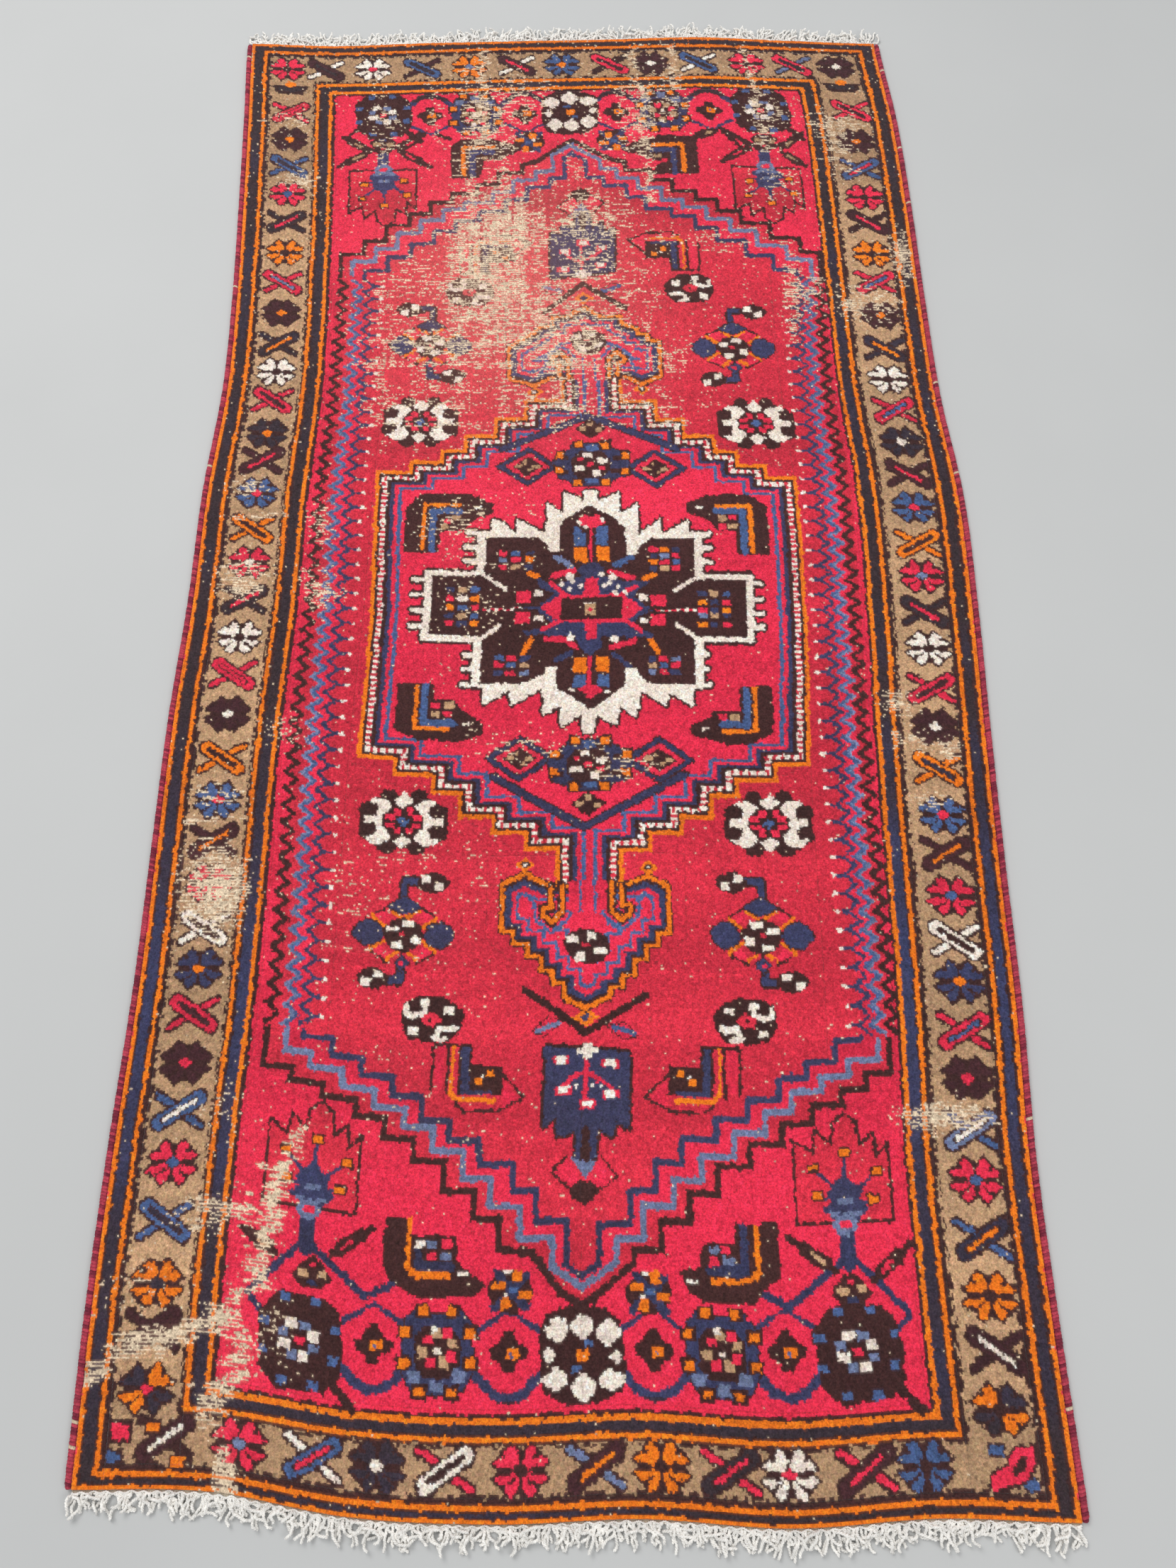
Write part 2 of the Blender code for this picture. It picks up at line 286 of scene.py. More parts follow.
# Along each border: a figure's place, then a star's colour and centre, or a leaf bar's colour,
# stripe, leaves and slope.
FAR_BORDER = ((20, RED, DARK), (38, PLUM, NAVY, WHITE, -1), (60, WHITE, RED),
              (83, BLUE, NAVY, PLUM, -1), (105, ORANGE, SKY), (127, PLUM, RED, WHITE, -1),
              (148, BLUE, ORANGE), (170, RED, PLUM, DARK, -1), (189, PLUM, WHITE),
              (211, BLUE, NAVY, WHITE, -1), (233, RED, DARK), (254, RED, NAVY, SKY, -1),
              (274, PLUM, WHITE))
NEAR_BORDER = ((29, PLUM, WHITE, DARK, 1), (51, RED, SKY), (73, BLUE, RED, WHITE, 1),
               (92, NAVY, WHITE), (112, WHITE, DARK, RED, 1), (134, RED, DARK),
               (156, PLUM, ORANGE, SKY, 1), (175, ORANGE, DARK), (195, NAVY, RED, RED, 1),
               (212, WHITE, RED), (234, PLUM, RED, RED, 1), (251, BLUE, DARK))
LEFT_BORDER = ((39, ROSE, RED, RED, 1), (54, PLUM, ORANGE), (69, BLUE, NAVY, BLUE, -1),
               (84, RED, BLUE), (99, NAVY, RED, NAVY, 1), (115, ORANGE, DARK),
               (130, RED, SKY, RED, -1), (145, PLUM, ORANGE), (160, NAVY, ORANGE, NAVY, 1),
               (173, WHITE, DARK), (186, RED, PLUM, RED, -1), (201, NAVY, ORANGE),
               (213, PLUM, RED, PLUM, 1), (227, BLUE, RED), (242, ORANGE, DARK, ORANGE, -1),
               (256, RED, WHITE), (271, NAVY, RED, NAVY, 1), (286, WHITE, DARK),
               (300, RED, RED, RED, -1), (315, PLUM, WHITE), (331, ORANGE, DARK, ORANGE, -1),
               (346, BLUE, RED), (360, PLUM, ORANGE, PLUM, 1), (374, RED, DARK),
               (389, WHITE, DARK, WHITE, -1), (402, NAVY, ORANGE), (416, RED, PLUM, RED, -1),
               (431, PLUM, RED), (445, BLUE, WHITE, BLUE, 1), (460, RED, BLUE),
               (476, BLUE, NAVY, BLUE, -1), (493, ORANGE, NAVY), (505, PLUM, PLUM, PLUM, 1))
RIGHT_BORDER = ((39, RED, PLUM, RED, -1), (56, PLUM, ORANGE), (71, BLUE, RED, BLUE, 1),
                (86, RED, DARK), (99, PLUM, RED, DARK, -1), (115, ORANGE, DARK),
                (129, RED, BLUE, RED, 1), (145, PLUM, ORANGE), (161, NAVY, ORANGE, NAVY, -1),
                (175, WHITE, DARK), (189, RED, BLUE, RED, 1), (203, NAVY, WHITE),
                (217, PLUM, RED, PLUM, -1), (231, BLUE, RED), (246, ORANGE, DARK, ORANGE, 1),
                (259, RED, SKY), (273, NAVY, RED, NAVY, -1), (287, WHITE, DARK),
                (302, RED, PLUM, RED, 1), (316, PLUM, WHITE), (331, ORANGE, NAVY, ORANGE, -1),
                (347, BLUE, RED), (360, PLUM, ORANGE, PLUM, 1), (374, RED, BLUE),
                (388, WHITE, DARK, WHITE, -1), (401, NAVY, ORANGE), (416, RED, BLUE, RED, 1),
                (430, PLUM, RED), (445, SKY, WHITE, BLUE, 1), (459, RED, BLUE),
                (475, NAVY, ORANGE, BLUE, 1), (490, ORANGE, DARK), (504, PLUM, WHITE, PLUM, -1))


def draw_border_figures():
    for figures, column, row in ((FAR_BORDER, None, 14), (NEAR_BORDER, None, 532),
                                 (LEFT_BORDER, 22, None), (RIGHT_BORDER, 276, None)):
        for place, *colours in figures:
            draw = star if len(colours) == 2 else leaf_bar
            draw(column or place, row or place, *colours)
    for column in (22, 275):  # half figures below the far corners
        rug.shape(DARK, (column - 9, 24), (column + 9, 24), (column + 6, 29), (column - 6, 29))
        rug.oval(NAVY, column, 26, 6, 1.6)
        rug.oval(ORANGE, column, 23.5, 2.6, 1.6)
    star(21.8, 520, ORANGE, RED, NAVY, 1)
    star(274.6, 518.5, ORANGE, DARK, NAVY, -1)
    rug.box(DARK, 12, 528, 19.5, 534)
    rug.box(RED, 13, 529, 18.5, 533)
    for colour, *places in ((BLUE, (14.5, 537), (281.5, 536.7), (272.5, 528.7)),
                            (ORANGE, (25.5, 530), (33.5, 538.3))):
        rug.blocks(DARK, 5.4, 3.6, *places)
        rug.blocks(colour, 4, 2.2, *places)
    rug.outlined(RED, ((269.8, 535.2), (275.5, 532.5), (277.5, 528.4), (282.8, 527.6), (282.8, 532),
                       (280, 535.8), (272, 537.8), (269.8, 537.8)), width=0.8)
    rug.shape(DARK, (276.3, 533.6), (278.8, 530.2), (280.8, 530), (280.4, 533), (276.5, 535.2))


# ------------------------------------------------------------------- the lattice and bands

# The three stepped lines that round off each corner of the field, from the middle outwards:
# where each starts, and the columns and rows it steps to.
LATTICE = {
    "far right": (
        ((150, 57), (173, 184, 193, 203, 212, 222, 234, 246, 254),
         (74, 79.5, 85.5, 90, 96, 102, 109.5, 116, 130)),
        ((150, 60.5), (162, 169, 178, 188, 197, 207, 217, 228, 240, 250),
         (73, 78, 83.5, 90, 94, 100, 106, 113.5, 120, 130)),
        ((150, 64.5), (155.5, 163, 173, 181, 192, 202, 211, 223, 234, 244),
         (77.5, 82, 88, 94.5, 98.5, 104.5, 111, 118.5, 125.5, 128)),
    ),
    "far left": (
        ((150, 57), (127, 116.5, 107, 96, 86.5, 77, 67, 57.5, 47.5),
         (74, 80, 84.5, 89, 95, 101, 109, 116, 127)),
        ((150, 59.5), (141, 133, 123, 114, 101.5, 92, 82, 72, 62.5, 52.5),
         (73.5, 78, 84, 89.5, 93, 98.5, 105, 113, 119.5, 126)),
        ((150, 64), (146, 139, 129, 119.5, 108, 97.5, 88, 78, 68, 58),
         (77.5, 82, 88, 94, 98.5, 104, 110.5, 117, 124, 128)),
    ),
    "near right": (
        ((153.5, 493), (169.5, 178, 187, 196, 206.5, 217, 226.5, 236, 244, 252),
         (479, 471, 463, 455, 448.5, 443, 438, 434, 429.5, 420)),
        ((153.5, 488.5), (164, 172.5, 182, 191, 201.5, 211.5, 220, 229.5, 238.5, 248.5),
         (476, 467, 459.5, 452.5, 445.5, 439.5, 434, 430, 425.5, 420)),
        ((153.5, 485.5), (158.5, 168.5, 176.5, 185, 196, 206, 216, 225, 234.5, 243),
         (472, 463, 455, 448, 442, 436, 430, 425.5, 419.5, 419)),
    ),
    "near left": (
        ((153.5, 493), (127.5, 119.5, 109.5, 99.5, 89.5, 79.5, 68.5, 57.5, 48),
         (469.5, 462, 454, 448, 442.5, 438, 434.5, 431, 420)),
        ((153.5, 488.5), (144, 134, 124.5, 115.5, 105.5, 95.5, 85.5, 74.5, 63.5, 54.5),
         (475, 466, 458.5, 451, 444.5, 439.5, 434.5, 430, 426, 419)),
        ((153.5, 485.5), (148.5, 139, 131.5, 120.5, 110.5, 101, 91, 80.5, 70, 60),
         (470.5, 462, 454.5, 448, 442.5, 436, 430.5, 426, 421, 420)),
    ),
}
LINE_COLOURS = (DARK, SKY, NAVY)
LINE_WIDTHS = (2.3, 2.0, 1.9)
TIP_SLOPE = 0.62  # rows for each column
GROUNDS = (ROSE, RED, ROSE)  # inside each line
# The sharp tips of the dark line, which the steps then follow.
TIPS = {"far right": ((150, 57), (168, 68.5), (173, 69)),
        "far left": ((150, 57), (134, 68), (127, 70)),
        "near right": ((153.5, 493), (161, 488.5), (169.5, 482)),
        "near left": ((153.5, 493), (147, 489.5), (137.5, 478.5), (127.5, 477.5))}


def corner_line(corner, index):
    """One lattice line, with its slanted tip at the middle of the rug."""
    start, columns, rows = LATTICE[corner][index]
    towards = 1 if corner.startswith("far") else -1
    if index == 0:
        tip = list(TIPS[corner])
        return tip[:-1] + steps(tip[-1], columns, rows)
    first = (columns[0], start[1] + towards * TIP_SLOPE * abs(columns[0] - start[0]))
    return [start] + steps(first, columns, rows)


def draw_lattice():
    lines = {corner: [corner_line(corner, index) for index in range(3)] for corner in LATTICE}
    for index, ground in enumerate(GROUNDS):
        outline = lines["far right"][index] + lines["near right"][index][::-1]
        outline += lines["near left"][index] + lines["far left"][index][::-1]
        rug.shape(ground, *outline)
    for corner in LATTICE:
        for index, colour in enumerate(LINE_COLOURS):
            rug.line(colour, *lines[corner][index], width=LINE_WIDTHS[index])


def draw_zigzags():
    """Three zigzag lines up each side, with a white spot at every point towards the middle."""
    first, last, pitch = 129, 420, 5.9
    count = round((last - first) / pitch)
    # The side, and the columns of the three lines at both ends and where they bow out most.
    for side, outer, middle in ((1, (253.5, 249, 244.5), (250.3, 245.5, 240.7)),
                                (-1, (49, 55, 60.5), (47.3, 53.3, 58.8))):
        for index, colour in enumerate(LINE_COLOURS):
            points = []
            for turn in range(2 * count + 1):
                row = first + turn * pitch / 2
                bow = math.sin(math.pi * min(1, (row - first) / (last - first)) ** 0.7)
                column = outer[index] + (middle[index] - outer[index]) * bow
                points.append((column + (2.1, -2.1)[turn % 2] * side, row))
                if index == 2 and turn % 2:
                    rug.oval(NAVY, column - side * 3.2, row, 1.6, 0.6)
                    rug.oval(WHITE, column - side * 5.4, row, 0.9, 0.7)
            rug.line(colour, *points, width=(1.6, 1.4, 1.2)[index])
            if index == 1:
                rug.line(BLUE, *[(x - side * 0.9, y) for x, y in points], width=0.9)


# ------------------------------------------------------------------ medallion and pendants

FAR_NECK, NEAR_NECK = 176, 371  # rows where the medallion's stripes meet the pendants
# The medallion's outline with both necks: down its right side, then up its left.
MEDALLION = [
    (167, 160),
    *steps((167, 186), (181, 191.5, 203, 211.5, 222, 233),
           (194.5, 202, 208.5, 214.5, 219.5, 300)),
    *steps((232, 331), (220.5, 206.5, 197.5, 187, 176, 166, 142.5, 131.5, 119.5, 108, 98, 84, 71),
           (336.5, 342, 349.5, 355, 361, 390, 359.5, 354, 348.5, 340.5, 334.5, 329, 300)),
    *steps((68.5, 216.5), (81.5, 93.5, 102.5, 114.5, 126.5, 141.5),
           (212, 207, 200.5, 193, 185, 160)),
]
# The medallion's stripes, from the outside in: colour, and knots across and along to its end.
RINGS = ((ORANGE, 1.5, 1.5), (DARK, 2.5, 2.5), (WHITE, 4.5, 4), (DARK, 6, 5), (NAVY, 7.5, 6),
         (RED, 9, 7), (BLUE, 10.5, 8))


def draw_rings(whole, rings, body):
    """Nested stripes inside a mask. The white one is a row of white knots on rose."""
    rows, columns = np.indices(chart.shape) // GRAIN
    outside = whole
    for colour, across, along in rings:
        inside = shrunk(whole, across, along)
        ring = outside & ~inside & body
        chart[ring] = colour
        if colour == WHITE:
            upright = ring & np.roll(ring, 2 * GRAIN, 0) & np.roll(ring, -2 * GRAIN, 0)
            gaps = np.where(upright, rows % 2 == 0, columns % 3 == 0)
            chart[ring & gaps] = ROSE
        outside = inside


def draw_medallion():
    """The stepped hexagon: nested stripes around a red field, open at both necks."""
    whole = mask_of(*MEDALLION)
    rows = (np.indices(chart.shape)[0] + 0.5) / GRAIN
    body = (rows >= FAR_NECK) & (rows < NEAR_NECK)
    chart[whole & body] = RED
    draw_rings(whole, RINGS, body)


def petals(column, row):
    """A big rosette: on dark ground, eight white lobes about a ring of red petals."""
    rosette = Figure(column, row)
    rosette.shape(DARK, (-15.5, -5), (-8, -8.5), (8, -8.5), (15.5, -5), (15.5, 5.5), (8, 9),
                  (-8, 9), (-15.5, 5.5))
    for side in (-1, 1):
        half = Figure(column, row, side)
        half.oval(DARK, 5.3, -8.7, 2.9, 2.6)
        half.oval(DARK, 5.3, 8.6, 3.4, 2.4)
        half.shape(WHITE, (12.2, -6.4), (10.4, -7.8), (6.6, -7.4), (3.6, -5.3), (5.4, -3.6),
                   (7.4, -1.6), (7.0, 0), (7.4, 2), (4.4, 4.4), (4.4, 6), (7.4, 8), (10.6, 7.8),
                   (13.8, 5.4), (10.4, 5.2), (9.3, 3), (9.3, 1.3), (13.6, 1), (13.6, -1.6),
                   (9.3, -1.8), (9.3, -5.2))
    rosette.shape(WHITE, (-3.4, -7.3), (-1.6, -8.4), (0.2, -10.3), (2, -8.4), (3.8, -7.4),
                  (2.4, -5.8), (0.3, -4.8), (-2.2, -5.8))
    rosette.shape(WHITE, (-3.6, 6.2), (-1.8, 5.6), (0, 4.5), (1.8, 5.5), (3.6, 6.4), (1.8, 7.4),
                  (0, 9.8), (-1.8, 7.6))
    rosette.blocks(RED, 2.4, 2.4, (-2.2, -3.4), (2.4, -3.3), (-2.2, 3), (2.3, 3))
    rosette.blocks(RED, 3.6, 1.8, (-4.7, -1.5), (4.8, -1.5), (-4.6, 1.2), (4.8, 1.2))
    rosette.blocks(BLUE, 4, 1.2, (0, 0))
    rosette.blocks(BLUE, 1.6, 3.2, (0, 0))


def diamond(column, row, across, along):
    """A navy lozenge with a red ring and a dark heart that has camel blocks."""
    figure = Figure(column, row)
    for size, colour in ((1.04, DARK), (0.98, NAVY), (0.76, DARK), (0.70, RED), (0.50, DARK)):
        x, y = across * size, along * size
        figure.shape(colour, (-x, 0), (0, -y), (x, 0), (0, y))
    figure.blocks(CAMEL, 2.8, 1.5, (-3.6, -0.2), (3.6, 0.3))
    figure.blocks(CAMEL, 1.4, 1.2, (-1, -1.8), (1.2, 1.6))


def heart_flower(column, row):
    """The navy flower on the medallion's axis, with orange squares round it."""
    flower = Figure(column, row)
    flower.outlined(NAVY, ((-14.5, -1), (-12, -5.5), (-8, -6.5), (-7, -9), (8, -9), (9, -6.5),
                           (14, -5), (15.5, 0), (14, 5.5), (9, 6.5), (7, 9), (-6, 9), (-9, 6.5),
                           (-13, 5.5)), width=0.5)
    flower.blocks(DARK, 3.4, 2.2, (-10, -3), (9.8, 3), (-3.5, 6.8), (3.8, -6.9), (10.5, -2.5),
                  (-10, 3))
    flower.blocks(BLUE, 4.6, 2.4, (0.6, -7.4), (0.6, 6.8))
    flower.shape(DARK, (-7.5, -2), (-4, -5.5), (5, -5.5), (8, -2), (8, 3), (4, 6), (-4, 6),
                 (-7.5, 3))
    flower.blocks(WHITE, 4.0, 2.0, (5.2, -1.7), (-4.2, 1.4))
    flower.blocks(WHITE, 3.0, 2.4, (-0.8, -4.0), (2.6, 3.6))
    flower.blocks(RED, 2.4, 1.6, (0.4, 0), (-4, -2.2), (4.8, 1.6))
    spots = ((-4.6, -8.8), (6.2, -8.4), (-12, -4.2), (14, -3.4), (-12, 2.4), (13.6, 3.2),
             (-5, 7.6), (5.8, 7.8))
    flower.blocks(DARK, 4.4, 3.8, *spots)
    flower.blocks(ORANGE, 3.0, 2.6, *spots)


def checkers(columns, rows, words):
    """Rows of coloured squares on the dark ground of a petal."""
    for y, word in zip(rows, words.split()):
        for x, code in zip(columns, word):
            rug.box(CODES[code], x - 1.6, y - 1.0, x + 1.6, y + 1.0)


# The great star flower: its dark body, then its white edging above and below.
STAR_BODY = ((91, 258), (112, 258), (112.7, 244), (132, 244), (137, 250), (141, 250), (141, 238),
             (153, 231), (166, 240), (166.5, 252), (170, 252), (176, 245.6), (194, 245.6),
             (194, 260), (213, 260), (213, 286), (193, 286), (193, 302), (176, 302), (171, 296),
             (166.5, 296), (166.5, 300), (153.5, 311), (141.3, 303), (141, 294.7), (137, 294.7),
             (128, 300.5), (111, 300.5), (111, 284.5), (91, 284.5))
STAR_TOP = ((105.5, 241), (115, 241.5), (115, 236.5), (119.5, 237.5), (124.5, 242.5),
            (124.7, 236.5), (135.5, 242.5), (136.2, 229.8), (142.3, 234), (142.5, 225.3),
            (150.3, 228.8),
            (150.8, 225), (155.2, 225), (155.8, 229.5), (164.2, 226), (164.2, 235), (170.8, 231),
            (170.8, 244.5), (172, 242.8), (179.5, 237), (179.8, 243.5), (181, 243.2), (189.8, 238),
            (190, 243), (198.5, 243), (198.5, 245), (195, 245.5), (195, 259.8), (192.2, 259.8),
            (192, 245.6), (176, 245.6), (171.5, 248.5), (170, 252), (166.5, 252), (166, 241),
            (164.5, 239), (161, 236), (157, 233.5), (153, 231.2), (149.5, 232.5), (145, 235.5),
            (142, 237.5), (141, 240), (141, 250), (137.5, 250), (136.5, 247), (132, 244),
            (113, 244), (112.7, 258), (109.3, 258), (109.3, 243.2), (105.5, 243))
STAR_BOTTOM = ((106, 300), (110, 300.3), (110, 284.5), (112.8, 284.5), (113, 300.5), (128, 300.3),
               (133, 299), (137, 297), (137, 294.7), (141, 294.7), (141.3, 302.5), (146, 305.2),
               (150, 308), (153.5, 311.2), (157, 309), (161, 306.5), (165, 303.5), (166.8, 300),
               (166.5, 296), (171, 296), (171.3, 299), (176, 302), (192, 302), (192, 286),
               (194.8, 286), (194.8, 301.5), (198, 301), (198, 303), (191.2, 303.5), (191, 310.3),
               (182.3, 305), (181.5, 310.3), (171.8, 304.5), (171, 314.3), (164.5, 310),
               (163.8, 317), (156.3, 313), (155.5, 319.3), (151.3, 319.3), (150.8, 312.8),
               (143.3, 316.5), (142.8, 309.5), (136.8, 312), (136, 302.5), (125, 308.8),
               (124.4, 303), (114.8, 308.3), (114.3, 302), (106, 301.7))
# The white teeth beside the bars: each bar's column, how far they reach, and their rows.
STAR_TEETH = ((109.3, 104.5, (248, 253.4)), (110, 106, (290, 295.2)), (194.8, 199, (249.4, 255.1)),
              (194.8, 197.2, (291, 296.2)), (91, 85, (261.5, 267.3, 273.5, 279.5)),
              (213, 217.5, (263.6, 269.7, 275.2, 280.5)))


def draw_star_edging():
    rug.outlined(DARK, STAR_BODY, width=1.5)
    sides = [((90, 257.5), (112, 257.5), (112, 259.6), (93, 259.6), (93, 282.7), (112.5, 282.7),
              (112.5, 284.8), (90, 284.8)),
             ((192, 259.8), (213.5, 259.8), (213.5, 286), (192.5, 286), (192.5, 284), (211, 284),
              (211, 261.9), (192, 261.9))]
    teeth = []
    for column, reach, rows in STAR_TEETH:
        for row in rows:
            tips = (reach, row - 0.8), (reach, row + 0.8)
            teeth.append(((column, row - 1), *tips, (column, row + 1)))
    rug.outlined(WHITE, STAR_TOP, STAR_BOTTOM, *sides, *teeth)
    rug.shape(DARK, *STAR_BODY)
    for outline in sides:
        rug.shape(WHITE, *outline)
    for start, end in (((112, 258.5), (121, 264.7)), ((112.5, 283.6), (119.5, 278.5)),
                       ((192.5, 261), (184, 266.8)), ((192.5, 285), (185, 279.2))):
        rug.line(WHITE, start, end, width=1.5)
    for outline in (STAR_TOP, STAR_BOTTOM):
        rug.shape(WHITE, *outline)


def draw_star_petals():
    checkers((100, 104.8, 109.6), (264.8, 268.7, 271.9, 275, 277.9), "NCB RWO OBR NCB RNO")
    checkers((194.8, 199, 203.4), (267.4, 270.9, 273.8, 276.2, 279.3), "NCB ONR RNO bCN ONR")
    checkers((119.5, 124.3, 129.5), (250.4, 253.1, 256), "RBN bRO RCN")
    checkers((176.5, 180.8, 185), (250, 252.4, 255, 257.7), "RON NbR ORB NCR")
    checkers((119.8, 124.3, 129.2), (291, 293.7, 296.3), "BRN RBC NRb")
    checkers((176.5, 180.5, 184.7), (292.3, 295, 297.4), "NRb CBR bRN")
    for start, row in ((112.5, 272.3), (177.5, 273.8)):
        for step in range(5):
            rug.box(RED, start + 3 * step, row - 0.5, start + 3 * step + 1.5, row + 0.5)
            rug.box(WHITE, start + 3 * step + 1.5, row - 0.5, start + 3 * step + 3, row + 0.5)
    for start, end in (((129.3, 258.3), (133, 260)), ((173, 261.5), (177, 260)),
                       ((128.7, 289), (131.3, 284.2)), ((175.3, 285), (178.2, 290))):
        rug.line(ORANGE, start, end, width=2)
    # The petals along the axis: blocks of blue and orange, and a red stem with a bud.
    for x, y in ((146.5, 240), (155, 240), (147.5, 297.8), (156, 297.8)):
        rug.box(BLUE, x, y, x + 4.6, y + (7.8 if y < 270 else 4.6))
    rug.shape(DARK, (147.5, 239.5), (152, 239.5), (152, 244))
    for x, y in ((146.5, 248.5), (155, 248.5), (147, 291.5), (155.5, 291.5)):
        rug.shape(ORANGE, (x, y), (x + 4.8, y), (x + 4.8, y + 6), (x, y + 5.2))
    rug.box(RED, 152.3, 239, 153.7, 255)
    rug.box(RED, 152.7, 291, 154.2, 303)
    rug.shape(RED, (147.5, 238.5), (150.5, 235), (153, 236), (156, 235), (159.5, 238.5), (153, 241))
    rug.shape(RED, (149, 303.3), (153.5, 300.8), (158.5, 304), (153.5, 306.5))
    rug.dots(WHITE, (147, 303.3), (160, 304.3), (148.5, 238.5), (157.5, 237.5), (151, 240),
             size=0.9)


def draw_star_heart():
    """The middle: a dark box in a red band, with navy flames and red and white squares."""
    rug.shape(NAVY, (128, 280.5), (137, 279.8), (142, 277), (153, 282), (164, 277), (177, 283.5),
              (176, 284.5), (157, 284), (157, 288), (153, 291.5), (149, 287), (147.5, 283),
              (130, 282.5))
    rug.shape(NAVY, (132.5, 260.5), (140, 263), (153, 259), (165, 262.5), (175.5, 262.5),
              (171, 266), (169.5, 268.5), (172, 271), (177, 274), (172, 276), (166, 281),
              (141, 280), (135, 274.5), (128, 272.5), (128, 271.3), (136, 270), (139.5, 266.5),
              (133.5, 264))
    rug.shape(NAVY, (147.5, 258), (150, 255), (155, 254.5), (158.5, 258), (154, 261.5), (151, 261))
    rug.shape(RED, (134, 272), (141.5, 267), (150, 267.5), (151, 261), (155.5, 261), (156, 267.3),
              (165, 267.6), (172.5, 273.3), (165.5, 278.4), (155.3, 278.5), (155.3, 284.5),
              (151.5, 284.5), (151, 278), (141.5, 277.6))
    for start, end in (((138, 262.5), (143, 266.7)), ((165, 267.3), (170, 264.6)),
                       ((135.5, 280.3), (142, 277)), ((165, 277), (172, 282))):
        rug.line(RED, start, end, width=1.6)
    rug.box(DARK, 142, 268.3, 165, 276.8)
    rug.box(CAMEL, 151, 271, 155, 275)
    rug.box(WHITE, 151, 270.4, 155, 271.2)
    rug.dots(RED, (153, 273.2), size=0.8)
    for x, y in ((125, 265.3), (125, 273.6), (175.5, 268), (175.5, 275.3)):
        rug.box(DARK, x - 1, y - 1, x + 9, y + 6)
        rug.box(RED, x, y, x + 5.4, y + 4.6)
    for x, y in ((132, 265.5), (132.2, 275), (171.2, 268), (171.3, 277)):
        rug.box(WHITE, x, y, x + 3.2, y + 2.2)
    for points in (((138.5, 259.5), (146.5, 257.7)), ((160.5, 258.7), (169, 261.3)),
                   ((137, 284), (142.5, 284.2), (147.5, 287)), ((161, 288), (169.5, 285.7))):
        rug.line(RED, *points, width=2.2)
    rug.dots(WHITE, (145.7, 283.7), (162, 285), (145, 260), (161, 260.7), size=1.5)
    for spots in (((142, 263), (146, 262), (149, 264), (145, 265)),
                  ((157, 259.5), (160, 263), (163, 264.5), (158, 264), (162, 267), (166, 267))):
        rug.dots(WHITE, *spots, size=0.9)
    rug.line(SKY, (139.5, 252), (145.5, 256), width=2.2)
    rug.line(BLUE, (162, 256), (168, 253), width=2.4)
    rug.line(NAVY, (141, 292), (146, 289.5), width=2.2)
    rug.line(NAVY, (162.5, 291), (168, 295.3), width=1.8)


# The boot-shaped hooks round the star flower: the dark outline, then the lines of the orange
# and blue angles, the camel and red squares inside, and the dash on the tail.
MEDALLION_HOOKS = (
    (((82, 232), (86, 227.5), (89, 226.3), (107, 226.3), (112, 229.5), (115, 230), (115, 234),
      (108, 236), (104, 241), (95, 241), (94.6, 250), (82, 250)),
     ((102.5, 230.8), (88.8, 230.8), (88.8, 248.5)), ((102.5, 233.4), (92.4, 233.4), (92.4, 249)),
     ((98, 237.6, RED), (101.5, 236, CAMEL), (97, 239.6, CAMEL)), (109.5, 231.8)),
    (((84, 301.3), (96.5, 301.3), (96.5, 307), (104, 307), (108, 311), (115, 315), (115, 318.8),
      (107, 321.5), (92, 321), (84, 318)),
     ((90.7, 302), (90.7, 317.3), (103, 317.3)), ((93.8, 302), (93.8, 315.4), (104.5, 315.4)),
     ((97.8, 309, RED), (102.8, 308.8, CAMEL), (98, 312, CAMEL), (102.5, 312, RED)), (109, 315.6)),
    (((190, 231), (194, 230), (198, 228), (213, 228), (217, 229.5), (220, 233), (220, 251.5),
      (208.5, 251.5), (208.5, 242), (201, 242), (199, 238.5), (194, 236), (190, 235)),
     ((201, 232.3), (214, 232.3), (214, 251)), ((201, 234.2), (211, 234.2), (211, 251)),
     ((203, 237.3, CAMEL), (207, 237, RED), (203, 240.8, RED), (206.8, 240.4, CAMEL)),
     (194.5, 232.8)),
    (((190.5, 317), (195, 315.3), (199, 312), (208.3, 312), (208, 303), (219, 302.5), (219, 319),
      (214, 321.5), (210, 323), (203, 323), (197, 321.5), (190.5, 320)),
     ((213.2, 303), (213.2, 318.8), (201.5, 318.8)), ((210.2, 304), (210.2, 316.4), (201.5, 316.4)),
     ((201.5, 313.7, RED), (205.8, 313.7, CAMEL)), (195.5, 318)),
)


def draw_hooks(hooks, colour):
    for outline, orange, blue, squares, dash in hooks:
        rug.outlined(DARK, outline, width=0.5)
        rug.line(ORANGE, *orange, width=1.5)
        rug.line(colour, *blue, width=2.6)
        for x, y, square in squares:
            rug.box(square, x - 1.6, y - 1.1, x + 1.6, y + 1.1)
        rug.line(WHITE, (dash[0] - 1.2, dash[1]), (dash[0] + 1.2, dash[1]), width=0.9)


